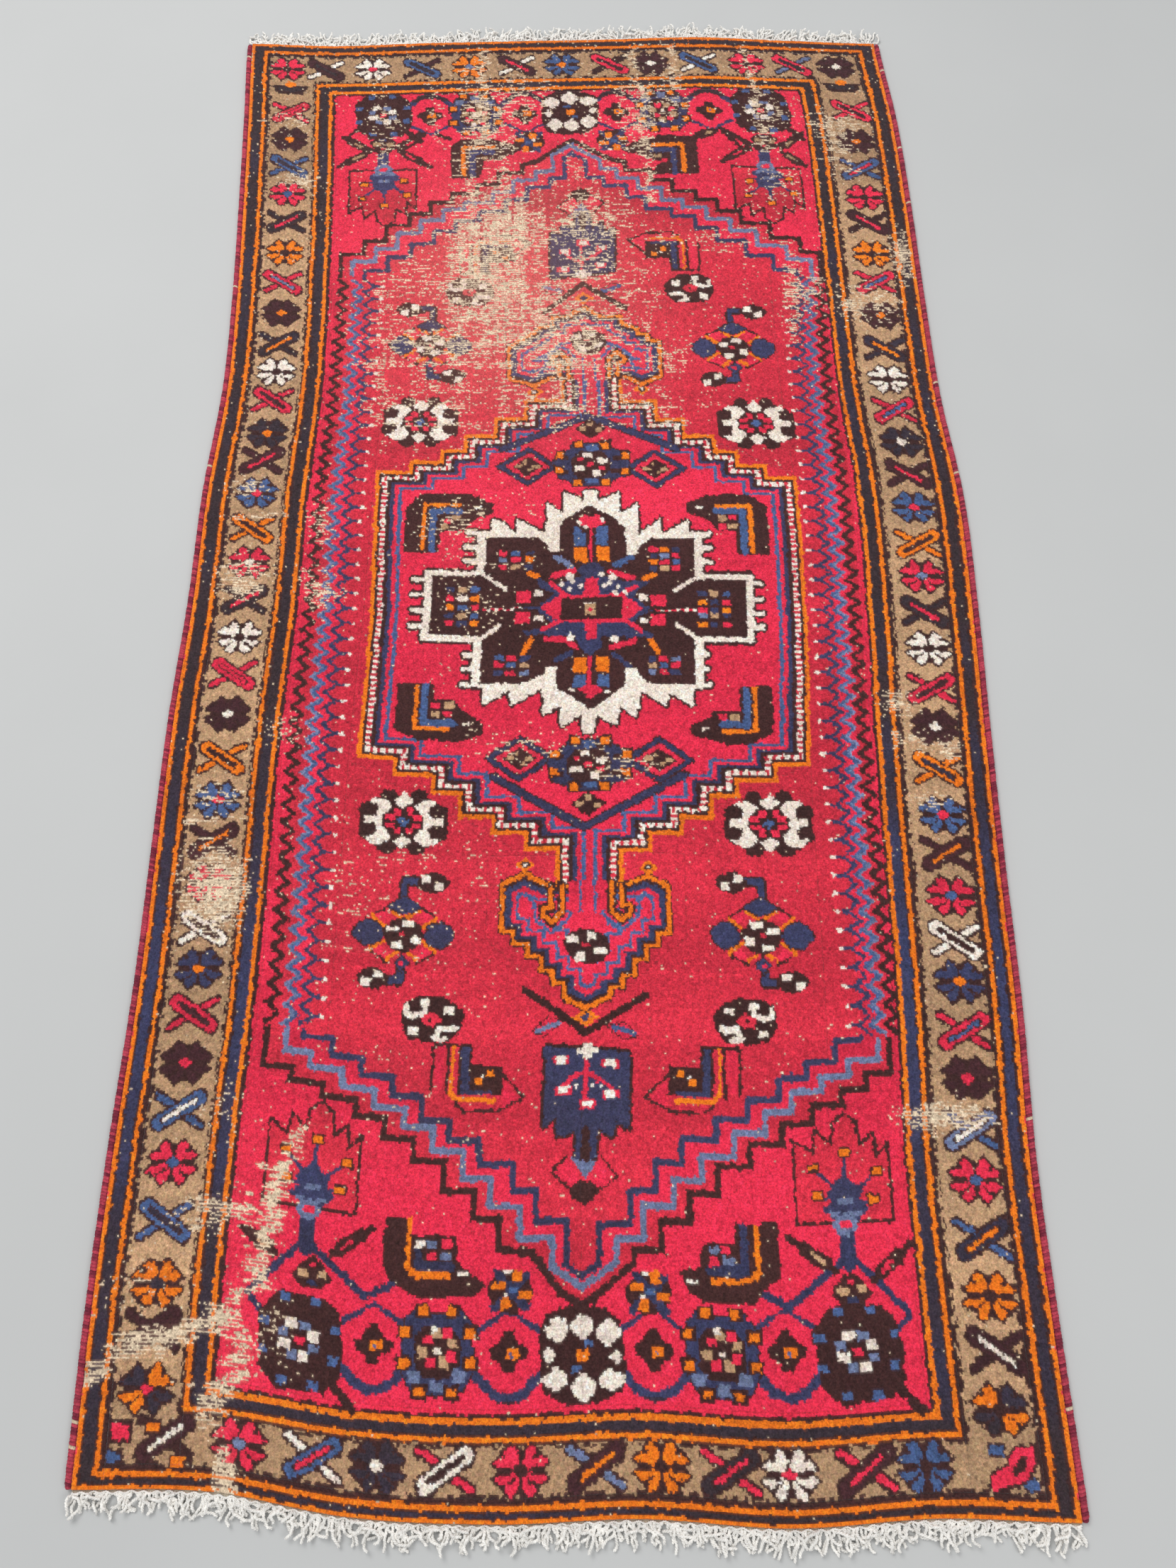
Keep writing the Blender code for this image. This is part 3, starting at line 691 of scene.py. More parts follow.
def draw_medallion_field():
    for column, row in ((220, 197), (84.3, 195), (216.6, 350.6), (88.8, 350)):
        petals(column, row)
    for peak, left, right in ((193, (118, 207), (188, 208)), (352, (120, 334), (188, 334))):
        rug.line(DARK, left, (152.5, peak), right, width=3.3)
        rug.line(NAVY, left, (152.5, peak), right, width=2.4)
    for column, row in ((178.5, 216.3), (128.5, 214.5), (178.7, 329.2), (129, 327.6)):
        diamond(column, row, 12.6, 8.3)
    for row in (198.5, 344):
        small = Figure(153.5, row)
        small.shape(DARK, (-6.5, 0), (0, -4.5), (6.5, 0), (0, 4.5))
        small.blocks(CAMEL, 2.6, 1.6, (-3.4, 0), (3.2, 0.6), (-0.4, -2))
    heart_flower(153, 214)
    heart_flower(153.5, 330.5)
    draw_star_edging()
    draw_star_petals()
    draw_star_heart()
    draw_hooks(MEDALLION_HOOKS, BLUE)


# The outlines of the hooked shields at the medallion's necks, and their stripes.
FAR_PENDANT = ((119.5, 176), (119.5, 160), (125, 157), (130, 154), (133, 151), (138, 150.5),
               (138, 146.5), (144.5, 146.5), (152.5, 142), (160, 147), (168, 147), (168, 149.5),
               (171, 151.5), (175, 153), (175, 155.5), (179, 155.5), (179, 158.5), (184, 159),
               (184, 176), (175, 180), (167.5, 176), (138.5, 176), (131, 180))
NEAR_PENDANT = ((123.5, 370), (132, 366), (142, 371), (165, 371), (174.5, 368), (182, 371.5),
                *steps((182, 387.5), (178, 174, 170, 166, 162), (391.5, 396, 401, 404.5, 407)),
                (153, 411), (145, 407),
                *steps((145, 402.5), (141, 137, 132.5, 127.5), (398.5, 394, 390, 386)),
                (123.5, 386))
PENDANT_RINGS = ((ORANGE, 1.5, 1.2), (DARK, 2.2, 2.0), (NAVY, 4.0, 3.2), (RED, 5.5, 4.2),
                 (BLUE, 6.6, 5.2), (RED, 9.2, 8.0), (BLUE, 10.3, 9.0))


def draw_pendant(outline, neck, along, rosette_row, eyes):
    """A hooked shield at a neck of the medallion, with its rosette and the eyes beside it."""
    whole = mask_of(*outline)
    chart[grown(whole)] = DARK
    chart[whole] = RED
    draw_rings(whole, PENDANT_RINGS, whole)
    rug.box(RED, 147, neck - along, 160, neck + along * 9)
    for column in (151, 156):
        rug.line(BLUE, (column, neck - along), (column, neck + along * 8.5), width=1.2)
    for x in (-1, 1):
        hook = Figure(153.2, neck, x, along)
        loop = (8.6, 0), (8.6, 9), (11.8, 12), (15, 9.5), (15, 7.4), (12.2, 7.4), (12.2, 1)
        hook.line(BLUE, (5, 9), (9, 13.5), (12, 15), (17.5, 11), (18, 6), (20, 3), width=1.2)
        hook.line(DARK, *loop, width=3.2)
        hook.line(ORANGE, *loop, width=1.5)
    for x, y in eyes:
        eye = Figure(x, y)
        eye.shape(ORANGE, (-3.2, 0), (0, -2.6), (3.2, 0), (0, 2.6))
        eye.shape(DARK, (-1.8, 0), (0, -1.4), (1.8, 0), (0, 1.4))
        eye.dots(WHITE, (0, 0), size=0.6)
    rosette = Figure(153.3, rosette_row)
    rosette.shape(DARK, (-8, -2), (-5, -5), (2, -5.6), (7, -3), (8, 1), (5, 5), (-1, 5.6), (-6, 3))
    rosette.blocks(WHITE, 4, 2, (-4.6, -2.7), (4.4, 1.6))
    rosette.blocks(WHITE, 2.8, 2.6, (1.8, -3.3), (-2.2, 3))
    rosette.blocks(ROSE, 2.4, 1.4, (-0.5, -0.6))


# ------------------------------------------------------------------ the field's small figures


def spider(column, row, across, along):
    """Four navy diamonds round a spotted dark one, with an arm and a dark head at either end."""
    figure = Figure(column, row, across, along)
    figure.line(DARK, (-0.7, -11), (-0.7, -17.4), (5.5, -17.4), width=3.4)
    figure.line(NAVY, (-0.7, -11), (-0.7, -17.4), (5.5, -17.4), width=2.0)
    figure.line(DARK, (-0.2, 10), (-0.2, 14.6), (-6, 14.6), width=3.6)
    figure.line(NAVY, (-0.2, 8), (-0.2, 14.4), (-6, 14.4), width=2.2)
    for x, y, turn in ((9.5, -17, 1), (-9.5, 14.4, -1)):
        figure.oval(DARK, x, y, 5.4, 3.4)
        figure.blocks(WHITE, 3.2, 2.3, (x - 2.4, y - turn * 1.3), (x + 2.0, y + turn * 1.3))
    figure.shape(ROSE, (-12, -5), (-5, -9), (0, -12), (5, -9), (12, -5), (12, 4), (5, 9), (-5, 9),
                 (-12, 4))
    for x in (-1, 1):
        for y in (-1, 1):
            figure.shape(RED, (x * 4, y * 7.5), (x * 8.5, y * 7.5), (x * 10, y * 5), (x * 7, y * 4))
            figure.line(DARK, (x * 5, y * 9), (x * 11, y * 5.8), width=0.8)
            figure.line(ORANGE, (x * 6.5, y * 2.3), (x * 11, y * 5.3), width=1.1)
            figure.line(ORANGE, (x * 0.8, y * 5.2), (x * 5, y * 7.8), width=1.2)
        figure.outlined(NAVY, ((x * 6.5, 0), (x * 9, -3.4), (x * 13, -4.4), (x * 17, -1.5),
                               (x * 17, 1.5), (x * 13, 4.4), (x * 9, 3.4)), width=0.5)
    figure.outlined(NAVY, ((-6, -9), (0, -12.3), (6, -9), (0, -6.2)), width=0.5)
    figure.outlined(NAVY, ((-3, 9), (0, 7), (3, 9), (0, 11.5)), width=0.5)
    figure.shape(DARK, (-7.5, -1), (-4, -4.5), (0, -5.5), (5, -3.5), (7.5, 0), (5, 4), (0, 6.5),
                 (-5, 4))
    figure.blocks(WHITE, 3.6, 2.2, (1.5, -3.6), (-4, -1.5), (4.2, 1.7), (-2, 3.4))
    figure.blocks(ROSE, 2, 1.4, (-0.5, -0.4))
    figure.dots(RED, (-0.3, 9.2), size=0.8)


def checked_rosette(column, row, across=1):
    """A small dark rosette with white blocks and strokes, and a pink centre."""
    figure = Figure(column, row, across)
    figure.shape(DARK, (-10.5, -1.5), (-8, -4.5), (-3, -7), (5, -7), (10, -4.5), (10.5, 2), (8, 6),
                 (2, 7), (-6, 6.5), (-9.5, 3))
    figure.line(WHITE, (2.5, -5), (3, -2), (6, -0.8), (8.8, -1.5), (9, -3.5), width=1.7)
    figure.blocks(WHITE, 3, 2, (3, -4.8))
    figure.line(WHITE, (-7.5, 2.6), (-2.5, 2.6), (-1, 5.6), (-4, 5.8), width=1.7)
    figure.blocks(WHITE, 3.4, 2.2, (-5.2, -2.8), (6.2, 3.8))
    figure.shape(ROSE, (-3, 0), (0, -2.2), (4, -1), (3, 1.5), (0, 2))
    figure.dots(DARK, (1, 0), size=0.6)


def small_hook(column, row, across, along):
    """A right-angled hook in orange and navy round a dark box, about its inner corner."""
    figure = Figure(column, row, across, along)
    figure.line(DARK, (-13, -2.5), (-2, -2.8), (1, -0.5), width=0.9)
    figure.line(DARK, (9.3, 3), (9.3, 16.5), (-3.8, 16.5), width=1.0)
    figure.box(RED, 5.8, 3.5, 8.6, 16)
    figure.line(DARK, (4.7, 2), (4.7, 16), width=1.0)
    figure.line(ORANGE, (-11, 0.6), (1, 0.6), (2.9, 2.5), (2.9, 16), width=1.3)
    figure.box(DARK, -13.5, 1.8, 0.8, 16.5)
    figure.box(NAVY, -11, 1.8, 0, 3.6)
    figure.box(NAVY, -2.7, 3, 0, 16)
    figure.box(ROSE, -14, 10.6, -3.7, 17)
    figure.blocks(ORANGE, 2.8, 1.8, (-5.7, 6), (-9.7, 8.4))
    figure.blocks(WHITE, 1, 1, (-7.2, 7.3))
    figure.line(DARK, (-13.5, 8), (-21, 1.2), (-12, -2.5), width=0.9)
    figure.shape(RED, (-14, 6), (-19, 1.2), (-14, -1.5))


def tulip(column, row, along):
    """A navy banner with a white flower and spots, and a dark stem to the end of the field."""
    figure = Figure(column, row, 1, along)
    banner = ((-13.5, -13), (-4, -12), (14, -10.5), (14.7, 12), (10.5, 9.5), (9.5, 14.5), (5, 11.5),
              (4, 20), (-2, 20), (-2.5, 12), (-8.5, 13.3), (-8.8, 8), (-13.2, 10.5))
    figure.outlined(NAVY, banner, width=1.0)
    figure.line(DARK, (1, 12), (1, 20), width=3)
    figure.shape(SKY, (-4.5, 18.5), (-1, 20.5), (3.5, 20.5), (5, 18.5), (1, 25.5))
    figure.shape(RED, (-9, 23), (-4, 19.5), (-1, 25), (-3, 28))
    figure.shape(RED, (10, 25), (6, 20.5), (2, 25), (5, 28.5))
    for points in (((-5, 19), (-10, 23), (-4, 28)), ((6, 19.5), (11, 25), (5, 29))):
        figure.line(DARK, *points, width=0.8)
    figure.shape(DARK, (-4.5, 28.5), (-1, 25.5), (4, 27), (5, 29.5), (1, 32.5), (-3, 31))
    figure.line(RED, (-7.5, -1), (-3, -4.3), (0, -5), (4, -3), (8.5, 0), width=1.3)
    figure.line(RED, (0, -9), (0, 5.5), width=1.3)
    spots = ((-8.2, -8.7), (8, -7.2), (-7, 0.2), (8.5, 1.8), (0.8, 4.5))
    figure.blocks(RED, 5.2, 2.8, *spots)
    figure.blocks(WHITE, 3.0, 2.1, *spots)
    figure.blocks(WHITE, 7, 1.6, (0.3, -11.4))
    figure.blocks(WHITE, 3.4, 4.6, (0.3, -11.2))
    figure.dots(WHITE, (-5.5, -1.3), (-3, -1.3), (2.5, -1), (5.5, -0.5), size=0.6)


def oval_bud(column, row, along):
    """A red ring round a dark heart with an orange spot, in a navy arc."""
    figure = Figure(column, row, 1, along)
    figure.line(NAVY, (-10, 5.5), (-5, 10), (0, 11.6), (5, 10), (10, 5.5), width=2.6)
    figure.line(NAVY, (-9, -5.5), (0, -10.2), (9, -5.5), width=1.6)
    figure.shape(RED, (-8.8, -1), (-7, -5.5), (-1.5, -9.3), (1.5, -9.3), (7, -5.5), (8.8, -1),
                 (8, 4), (3.5, 9), (-3.5, 9), (-8, 4))
    figure.shape(DARK, (-6, -1), (-3, -2.5), (-1.2, -5.5), (1.2, -5.5), (3, -2.5), (6, -1),
                 (5.5, 1.5), (2.5, 2.5), (1.5, 5), (-1.5, 5), (-2.5, 2.5), (-5.5, 1.5))
    figure.blocks(ORANGE, 3.6, 2.8, (1, 0.3))
    figure.dots(BLUE, (0.7, 0.3), size=0.5)


def spotted_flower(column, row, along):
    """A navy flower with eight orange blocks, round a pinwheel of camel and red."""
    figure = Figure(column, row, 1, along)
    figure.outlined(NAVY, ((-10, -7), (-7, -10.5), (-2, -9), (2, -9), (7, -10.5), (10.5, -7),
                           (11, 5), (8, 10), (2, 11), (-3, 11), (-8, 10), (-11, 5)), width=0.5)
    figure.shape(DARK, (-7, -3), (-4, -6), (4, -6), (7, -3), (7, 4), (4, 7), (-4, 7), (-7, 4))
    figure.blocks(SKY, 4, 2.6, (-7, 7), (0, 9), (6.5, 6.5))
    spots = ((-4.5, -9.8), (4.7, -9.8), (-10, -4.2), (10, -4.4), (-10.2, 3.6), (10, 3.2),
             (-5, 10.5), (4.5, 10.5))
    figure.blocks(DARK, 4.6, 3.8, *spots)
    figure.blocks(ORANGE, 3.0, 2.4, *spots)
    figure.blocks(CAMEL, 3.0, 2.2, (-0.5, -4.2), (4.3, -1.8), (-4.3, 0.8), (2.2, 3.2))
    figure.blocks(RED, 3.0, 2.2, (3, -4.2), (-3, -2.4), (4.2, 1.2), (-2, 3.2))
    figure.blocks(WHITE, 2.4, 1.6, (0, 0.2), (-1, -5.4))


def white_rosette(column, row, along):
    """Eight white lobes on dark: three above, three below, and one each side."""
    figure = Figure(column, row, 1, along)
    figure.shape(DARK, (-13, -4), (-11, -10.5), (-4, -12), (6, -11.5), (12, -8), (13.5, 4),
                 (12, 9.5), (5, 12.5), (-5, 12.5), (-12, 9))
    figure.lobes(WHITE, (-7.3, -6.4, 3.7, 3.5), (0.4, -6.9, 4.0, 3.3), (8, -5, 4.1, 3.4),
                 (-9.8, 0, 1.8, 2.1), (10.4, 1.2, 1.8, 1.9), (-8, 6, 4.4, 2.8),
                 (0.3, 8.4, 4.0, 3.4), (8.5, 6.8, 4.4, 2.8))
    for points in (((-3.6, -12), (-3.6, -5)), ((4.2, -12), (4.2, -4)), ((-3.9, 12), (-3.9, 5)),
                   ((4.4, 12), (4.4, 5))):
        figure.line(DARK, *points, width=0.9)
    figure.blocks(ORANGE, 3.6, 2.6, (0.2, 0.5))
    figure.blocks(BLUE, 2.6, 1.6, (2.2, -2.4), (-1.5, 3.6))


def dark_flower(column, row):
    """A dark flower with blue outer spots, and white and blue petals round a red centre."""
    figure = Figure(column, row)
    figure.shape(DARK, (-13, -6), (-7, -12), (7, -12), (12, -8), (13.5, 0), (13, 8), (8, 12),
                 (-6, 13), (-12, 8))
    figure.line(DARK, (10, 9), (17, 15), width=2.6)
    figure.blocks(BLUE, 3.2, 2.2, (-5, -10.5), (4.5, -10.5), (-11, -4), (11, -4), (-11, 3.6),
                  (10.5, 3.8), (-4.5, 10.5), (4.8, 10.8))
    figure.blocks(WHITE, 3.8, 2.5, (-2.6, -4), (4.2, -1.6), (-4.4, 1.2), (1.8, 3.8))
    figure.blocks(SKY, 3.2, 2.2, (1.8, -3.9), (-5, -1.7), (4.4, 1.5), (-2, 3.8))
    figure.blocks(RED, 3.4, 2.4, (0, 0))


def leaf(start, end, flesh):
    """A slender dark leaf with a coloured dash in it."""
    (x, y), (tip_x, tip_y) = start, end
    rug.line(DARK, start, end, width=2.2)
    middle = (x + tip_x) / 2, (y + tip_y) / 2
    rug.line(DARK, (x + 0.3 * (tip_x - x), y + 0.3 * (tip_y - y)),
             (x + 0.8 * (tip_x - x), y + 0.8 * (tip_y - y)), width=4)
    rug.line(flesh, middle, (x + 0.75 * (tip_x - x), y + 0.75 * (tip_y - y)), width=1.2)


def camel_flower(column, row, along):
    """The small worn flower under each palmette's stem."""
    figure = Figure(column, row, 1, along)
    figure.shape(DARK, (-6.5, 1), (-3, -3.5), (0, -5), (3, -3.5), (6.5, 1), (3, 3.5), (-3, 3.5))
    figure.blocks(CAMEL, 3.2, 2.1, (-2.8, 0), (3, -0.6))
    figure.blocks(NAVY, 2.6, 1.8, (0, 2.2))
    figure.blocks(RED, 2.0, 1.2, (0, -2.4))


def palmette_box(column, row, along):
    """A rose box with a blue palmette, on a stem that forks towards the field's end."""
    figure = Figure(column, row, 1, along)
    figure.shape(ROSE, (-14.5, -12), (-9, -10), (-8, -16), (-2, -14), (1.5, -20), (6, -16),
                 (7, -11), (10.5, -14), (14.5, -11), (14.5, 9.5), (-14.5, 9.5))
    figure.line(DARK, (-15, -13.5), (-9, -10), (-8, -16), (-3, -12), (-2.5, -17.5), (1.5, -20.5),
                (5.5, -17.5), (6, -11.5), (10.5, -14.5), (11, -8), (15, -11.5), width=1.0)
    figure.line(DARK, (-15, -13), (-15, 9.5), (15, 9.5), (15, -12), width=1.1)
    spots = ((1, -9.5), (-9, -5.7), (11, -4), (-8, 2), (9.5, 3.7))
    for x, y in spots:
        figure.line(NAVY, (x * 0.9, y + 1), (0.5, 3), width=1.1)
    figure.blocks(DARK, 4.4, 3.0, *spots)
    figure.blocks(ORANGE, 3.0, 1.8, *spots)
    figure.shape(NAVY, (-5, 1), (0.5, -3.5), (6, 1), (5, 4), (8, 6), (4, 9), (-3, 9), (-7, 6),
                 (-4, 4))
    figure.blocks(SKY, 5, 1.6, (0.3, 3.6), (-2, 7.4), (3, 7.4))
    figure.line(NAVY, (0, 9), (0, 20), width=5)
    figure.oval(SKY, 0, 10, 4, 2.8)
    figure.oval(RED, 0, 10, 1.9, 1.2)
    vine, bend = (NAVY, 34) if along > 0 else (DARK, 27)
    inward = 1 if column < MIDDLE else -1
    figure.line(vine, (2 * inward, 19.5), (19 * inward, 31), (30 * inward, 26), width=2.1)
    figure.line(vine, (-2 * inward, 19.5), (-17 * inward, bend), (-12 * inward, bend + 5),
                width=2.0)


def vine_flower(column, row, across=1, along=1):
    """A small navy flower with four orange lobes."""
    figure = Figure(column, row, across, along)
    figure.oval(DARK, 0, 0.5, 7, 5.6)
    figure.line(NAVY, (-4, -4), (5, 5), width=2.2)
    figure.line(NAVY, (5, -3.5), (-5, 5), width=2.2)
    figure.blocks(ORANGE, 3.8, 2.2, (-3.6, -1), (4.6, 1.4))
    figure.blocks(ORANGE, 3, 3, (2, -3.4), (-1.4, 3.4))
    figure.blocks(WHITE, 1.6, 1.2, (-1, -4.6), (-1.8, 1.4))
    figure.blocks(BLUE, 2.4, 1.6, (0.6, 0.2))


# The boat-shaped hooks of the corner fields, as for the medallion's hooks.
FIELD_HOOKS = (
    (((209, 470), (213.5, 470), (213.5, 484), (208, 487.5), (206, 491), (190, 491), (185, 488),
      (184, 484), (190, 483), (191, 476.5), (201, 476.5), (201, 471), (209, 471)),
     ((207.3, 471), (207.3, 483.5), (205.5, 485.4), (193, 485.8)),
     ((203.2, 471.5), (203.2, 483), (192.5, 483)),
     ((194, 478, SKY), (197.6, 477.7, RED), (194, 480.8, RED), (198.2, 480.4, SKY)), (187, 486.6)),
    (((92.5, 470), (98.3, 470), (98.3, 476), (101, 474.5), (114, 474.5), (114, 481), (119, 484.5),
      (123.5, 487), (121, 489.5), (103, 490), (97, 487.5), (92.5, 484)),
     ((99.6, 470), (99.6, 482.5), (101.5, 484.5), (112.5, 484.5)),
     ((102.8, 477.5), (102.8, 482.2), (113, 482.2)),
     ((103.2, 476.5, WHITE), (107, 476.5, SKY), (111.5, 476.3, RED), (107, 479.5, RED),
      (111.4, 479.4, SKY)), (116.5, 484)),
    (((205, 56.5), (205, 76), (200, 76), (183.5, 76), (190, 70), (182, 66), (172, 63), (180, 58),
      (188, 56)),
     ((185, 60.5), (199, 60.5), (199, 75.5)), ((186, 63.2), (194.6, 63.2), (194.6, 75.5)),
     ((188, 66.5, CAMEL), (190.5, 69, RED)), (178, 61.8)),
    (((96, 76), (96, 59), (100, 56), (113, 55.5), (122, 58.5), (128, 61), (118, 66), (110, 66.5),
      (108, 76)),
     ((115, 59.8), (101, 59.8), (101, 75)), ((114, 62.6), (105, 62.6), (105, 75)),
     ((111, 66, CAMEL),), (120, 60.8)),
)


def draw_corner_fields():
    for column, row, along in ((65, 81, -1), (235, 82, -1), (235, 461, 1), (67.5, 460, 1)):
        palmette_box(column, row, along)
    for column, row, along in ((86.5, 42, -1), (129.5, 42, -1), (171, 42, -1), (213, 42, -1),
                               (90, 503, 1), (131, 504, 1), (174.7, 504.5, 1), (214.5, 503, 1)):
        oval_bud(column, row, along)
    for column, row, along in ((107, 42, -1), (192, 42, -1), (109.5, 503.5, 1), (195, 504, 1)):
        spotted_flower(column, row, along)
    for column, row in ((65, 41), (236, 41), (67.5, 504.5), (235.5, 504)):
        dark_flower(column, row)
    white_rosette(150, 42, -1)
    white_rosette(153, 505, 1)
    for column, row, across, along in ((168, 58, 1, -1), (131, 58, -1, -1), (173.5, 489.5, 1, 1),
                                       (131.5, 488, 1, 1)):
        vine_flower(column, row, across, along)
    draw_hooks(FIELD_HOOKS, NAVY)
    for start, end in (((47, 53), (58, 60)), ((45, 69), (59, 61)), ((84, 52), (73, 60)),
                       ((86, 70), (72, 61)), ((205, 57), (215, 53)), ((218, 54), (229, 63)),
                       ((216, 70), (228, 62)), ((253, 53), (243, 62)), ((253, 71), (243, 64)),
                       ((217, 474), (231, 483)), ((254, 477), (242, 486)), ((88, 473), (76, 481)),
                       ((47, 477), (58, 483))):
        leaf(start, end, CAMEL if start[0] % 2 else RED)
    for column, row, along in ((65, 57, -1), (236, 58, -1), (235, 488.5, 1), (70, 487, 1)):
        camel_flower(column, row, along)


def draw_inner_field():
    for column, row, across in ((214, 163, 1), (87, 160, -1), (212, 387, -1), (91, 387, 1)):
        spider(column, row, across, 1)
    for column, row, across in ((197, 134.5, 1), (104, 134.5, -1), (205.3, 413.3, 1),
                                (102.5, 413, -1)):
        checked_rosette(column, row, across)
    for column, row, across, along in ((193, 109, 1, 1), (109, 109, -1, 1), (194, 438, 1, -1),
                                       (113, 437, -1, -1)):
        small_hook(column, row, across, along)
    tulip(153.7, 434, 1)
    tulip(152, 115.5, -1)
    rug.line(DARK, (132.5, 404), (141, 409), (153, 417.5), (173, 406.5), width=2.4)
    rug.line(DARK, (135, 145), (152, 131.5), (170, 144), width=2.4)
    for column, row in ((153, 412.8), (152, 138.5)):
        figure = Figure(column, row)
        figure.shape(ORANGE, (-4.5, 0), (0, -3), (4.5, 0), (0, 3))
        figure.shape(NAVY, (-2, 0), (0, -1.4), (2, 0), (0, 1.4))
    for x, y, slope, colour in ((140.5, 415, -1, SKY), (165.5, 417.3, 1, BLUE), (139, 134, 1, SKY),
                                (164, 134, -1, BLUE)):
        petal = Figure(x, y, 1, slope)
        petal.outlined(RED, ((-5, -1.5), (0, -2.6), (4.6, 1.4), (0, 2.4)), width=0.5)
        petal.line(colour, (-3.4, -1.4), (3.6, 0.8), width=1.5)


def draw_design():
    draw_stripes()
    draw_border_figures()
    draw_lattice()
    draw_zigzags()
    draw_corner_fields()
    draw_inner_field()
    draw_medallion()
    draw_medallion_field()
    draw_pendant(FAR_PENDANT, FAR_NECK, -1, 159, ((131, 182), (175, 181.5)))
    draw_pendant(NEAR_PENDANT, NEAR_NECK, 1, 391, ((132, 364), (174.5, 366)))


# ---------------------------------------------------------------------------------- wear

FINE = GRAIN  # facets across and along each knot
PILE = slice(FIRST * FINE, (FIRST + COLUMNS) * FINE)  # the pile's columns of facets


def facets(values):
    """An array over the knots as one over the facets."""
    return np.repeat(np.repeat(values, FINE, 0), FINE, 1)


def smooth_noise(rows, columns, row_step, column_step):
    """Seeded noise from about -1 to 1 that changes over so many steps."""
    high = dice.normal(size=(int(rows / row_step) + 3, int(columns / column_step) + 3)) * 0.6
    y, x = np.arange(rows) / row_step, np.arange(columns) / column_step
    top, left = y.astype(int), x.astype(int)
    v, u = y - top, x - left
    v, u = (v * v * (3 - 2 * v))[:, None], (u * u * (3 - 2 * u))[None, :]
    upper = high[np.ix_(top, left)] * (1 - u) + high[np.ix_(top, left + 1)] * u
    lower = high[np.ix_(top + 1, left)] * (1 - u) + high[np.ix_(top + 1, left + 1)] * u
    return upper * (1 - v) + lower * v


def dashes(shape, across, along):
    """Even noise from 0 to 1 in dashes so many steps long across and along the rug."""
    rough = dice.normal(size=shape)
    total = sum(np.roll(rough, shift, 1) for shift in range(across))
    total = sum(np.roll(total, shift, 0) for shift in range(along))
    return total.ravel().argsort().argsort().reshape(shape) / total.size


def worn_spot(worn, column, row, across, along, strength):
    """Adds wear that fades from the middle of an oval to its edge."""
    rows, columns = np.indices(KNOTS) + 0.5
    away = ((columns - column) / across) ** 2 + ((rows - row) / along) ** 2
    worn += strength * np.exp(-1.6 * away)


def worn_line(worn, start, end, width, strength):
    """Adds wear along a straight crease."""
    rows, columns = np.indices(KNOTS) + 0.5
    columns = columns + 1.8 * dice.normal(size=(ROWS, 1))
    run, rise = end[0] - start[0], end[1] - start[1]
    share = ((columns - start[0]) * run + (rows - start[1]) * rise) / (run**2 + rise**2)
    share = share.clip(0, 1)
    away = np.hypot(columns - start[0] - share * run, rows - start[1] - share * rise)
    away *= 1 + 0.45 * smooth_noise(*KNOTS, 3, 5)
    worn += strength * np.exp(-1.6 * (away / width) ** 2)


# Spots are (column, row, across, along, strength); creases (start, end, width, strength).
WORN_SPOTS = (
    (112, 116, 16, 36, 0.50), (124, 98, 22, 13, 0.36), (144, 160, 24, 20, 0.26),
    (150, 92, 22, 14, 0.16), (130, 150, 50, 45, 0.12), (85, 150, 36, 50, 0.06),
    (115, 50, 12, 22, 0.20), (180, 46, 9, 22, 0.16), (66, 52, 16, 20, 0.05),
    (236, 45, 16, 18, 0.09), (240, 84, 14, 14, 0.10), (130, 32, 12, 16, 0.14),
    (150, 188, 55, 8, 0.06), (65, 185, 10, 20, 0.06), (24, 377, 11, 13, 0.70),
    (27, 377, 9, 11, 0.50), (22, 345, 12, 8, 0.18), (20, 264, 11, 8, 0.35),
    (18, 225, 9, 4, 0.35), (27, 76, 8, 5, 0.40), (20, 44, 10, 5, 0.25),
    (14, 495, 14, 12, 0.10), (268, 442, 12, 4, 1.10), (268, 48, 12, 8, 0.28),
    (268, 62, 8, 22, 0.14), (271, 140, 11, 8, 0.50), (289, 115, 4, 12, 0.35),
    (268, 322, 8, 4, 0.55), (265, 308, 7, 5, 0.35), (270, 342, 9, 3, 0.40),
    (281, 324, 4, 4, 0.60), (46, 541, 4.5, 6, 1.40), (56, 507, 14, 14, 0.10),
    (48, 470, 8, 30, 0.06), (95, 440, 40, 30, 0.02), (90, 370, 45, 26, 0.035),
    (48, 265, 5, 10, 0.22), (55, 265, 5, 8, 0.18),
    (242, 140, 5, 22, 0.22), (250, 135, 5, 8, 0.22), (205, 110, 30, 8, 0.08),
    (195, 34, 12, 16, 0.12), (162, 62, 10, 34, 0.08), (100, 240, 14, 14, 0.12),
    (108, 266, 26, 40, 0.05), (44, 320, 14, 7, 0.12), (135, 324, 32, 7, 0.12),
    (165, 332, 16, 6, 0.10), (140, 232, 50, 12, 0.03), (157, 108, 10, 14, 0.14),
    (183, 168, 12, 8, 0.12), (49, 237, 6, 10, 0.15), (36, 446, 8, 10, 0.15),
    (34, 475, 10, 6, 0.15),
)
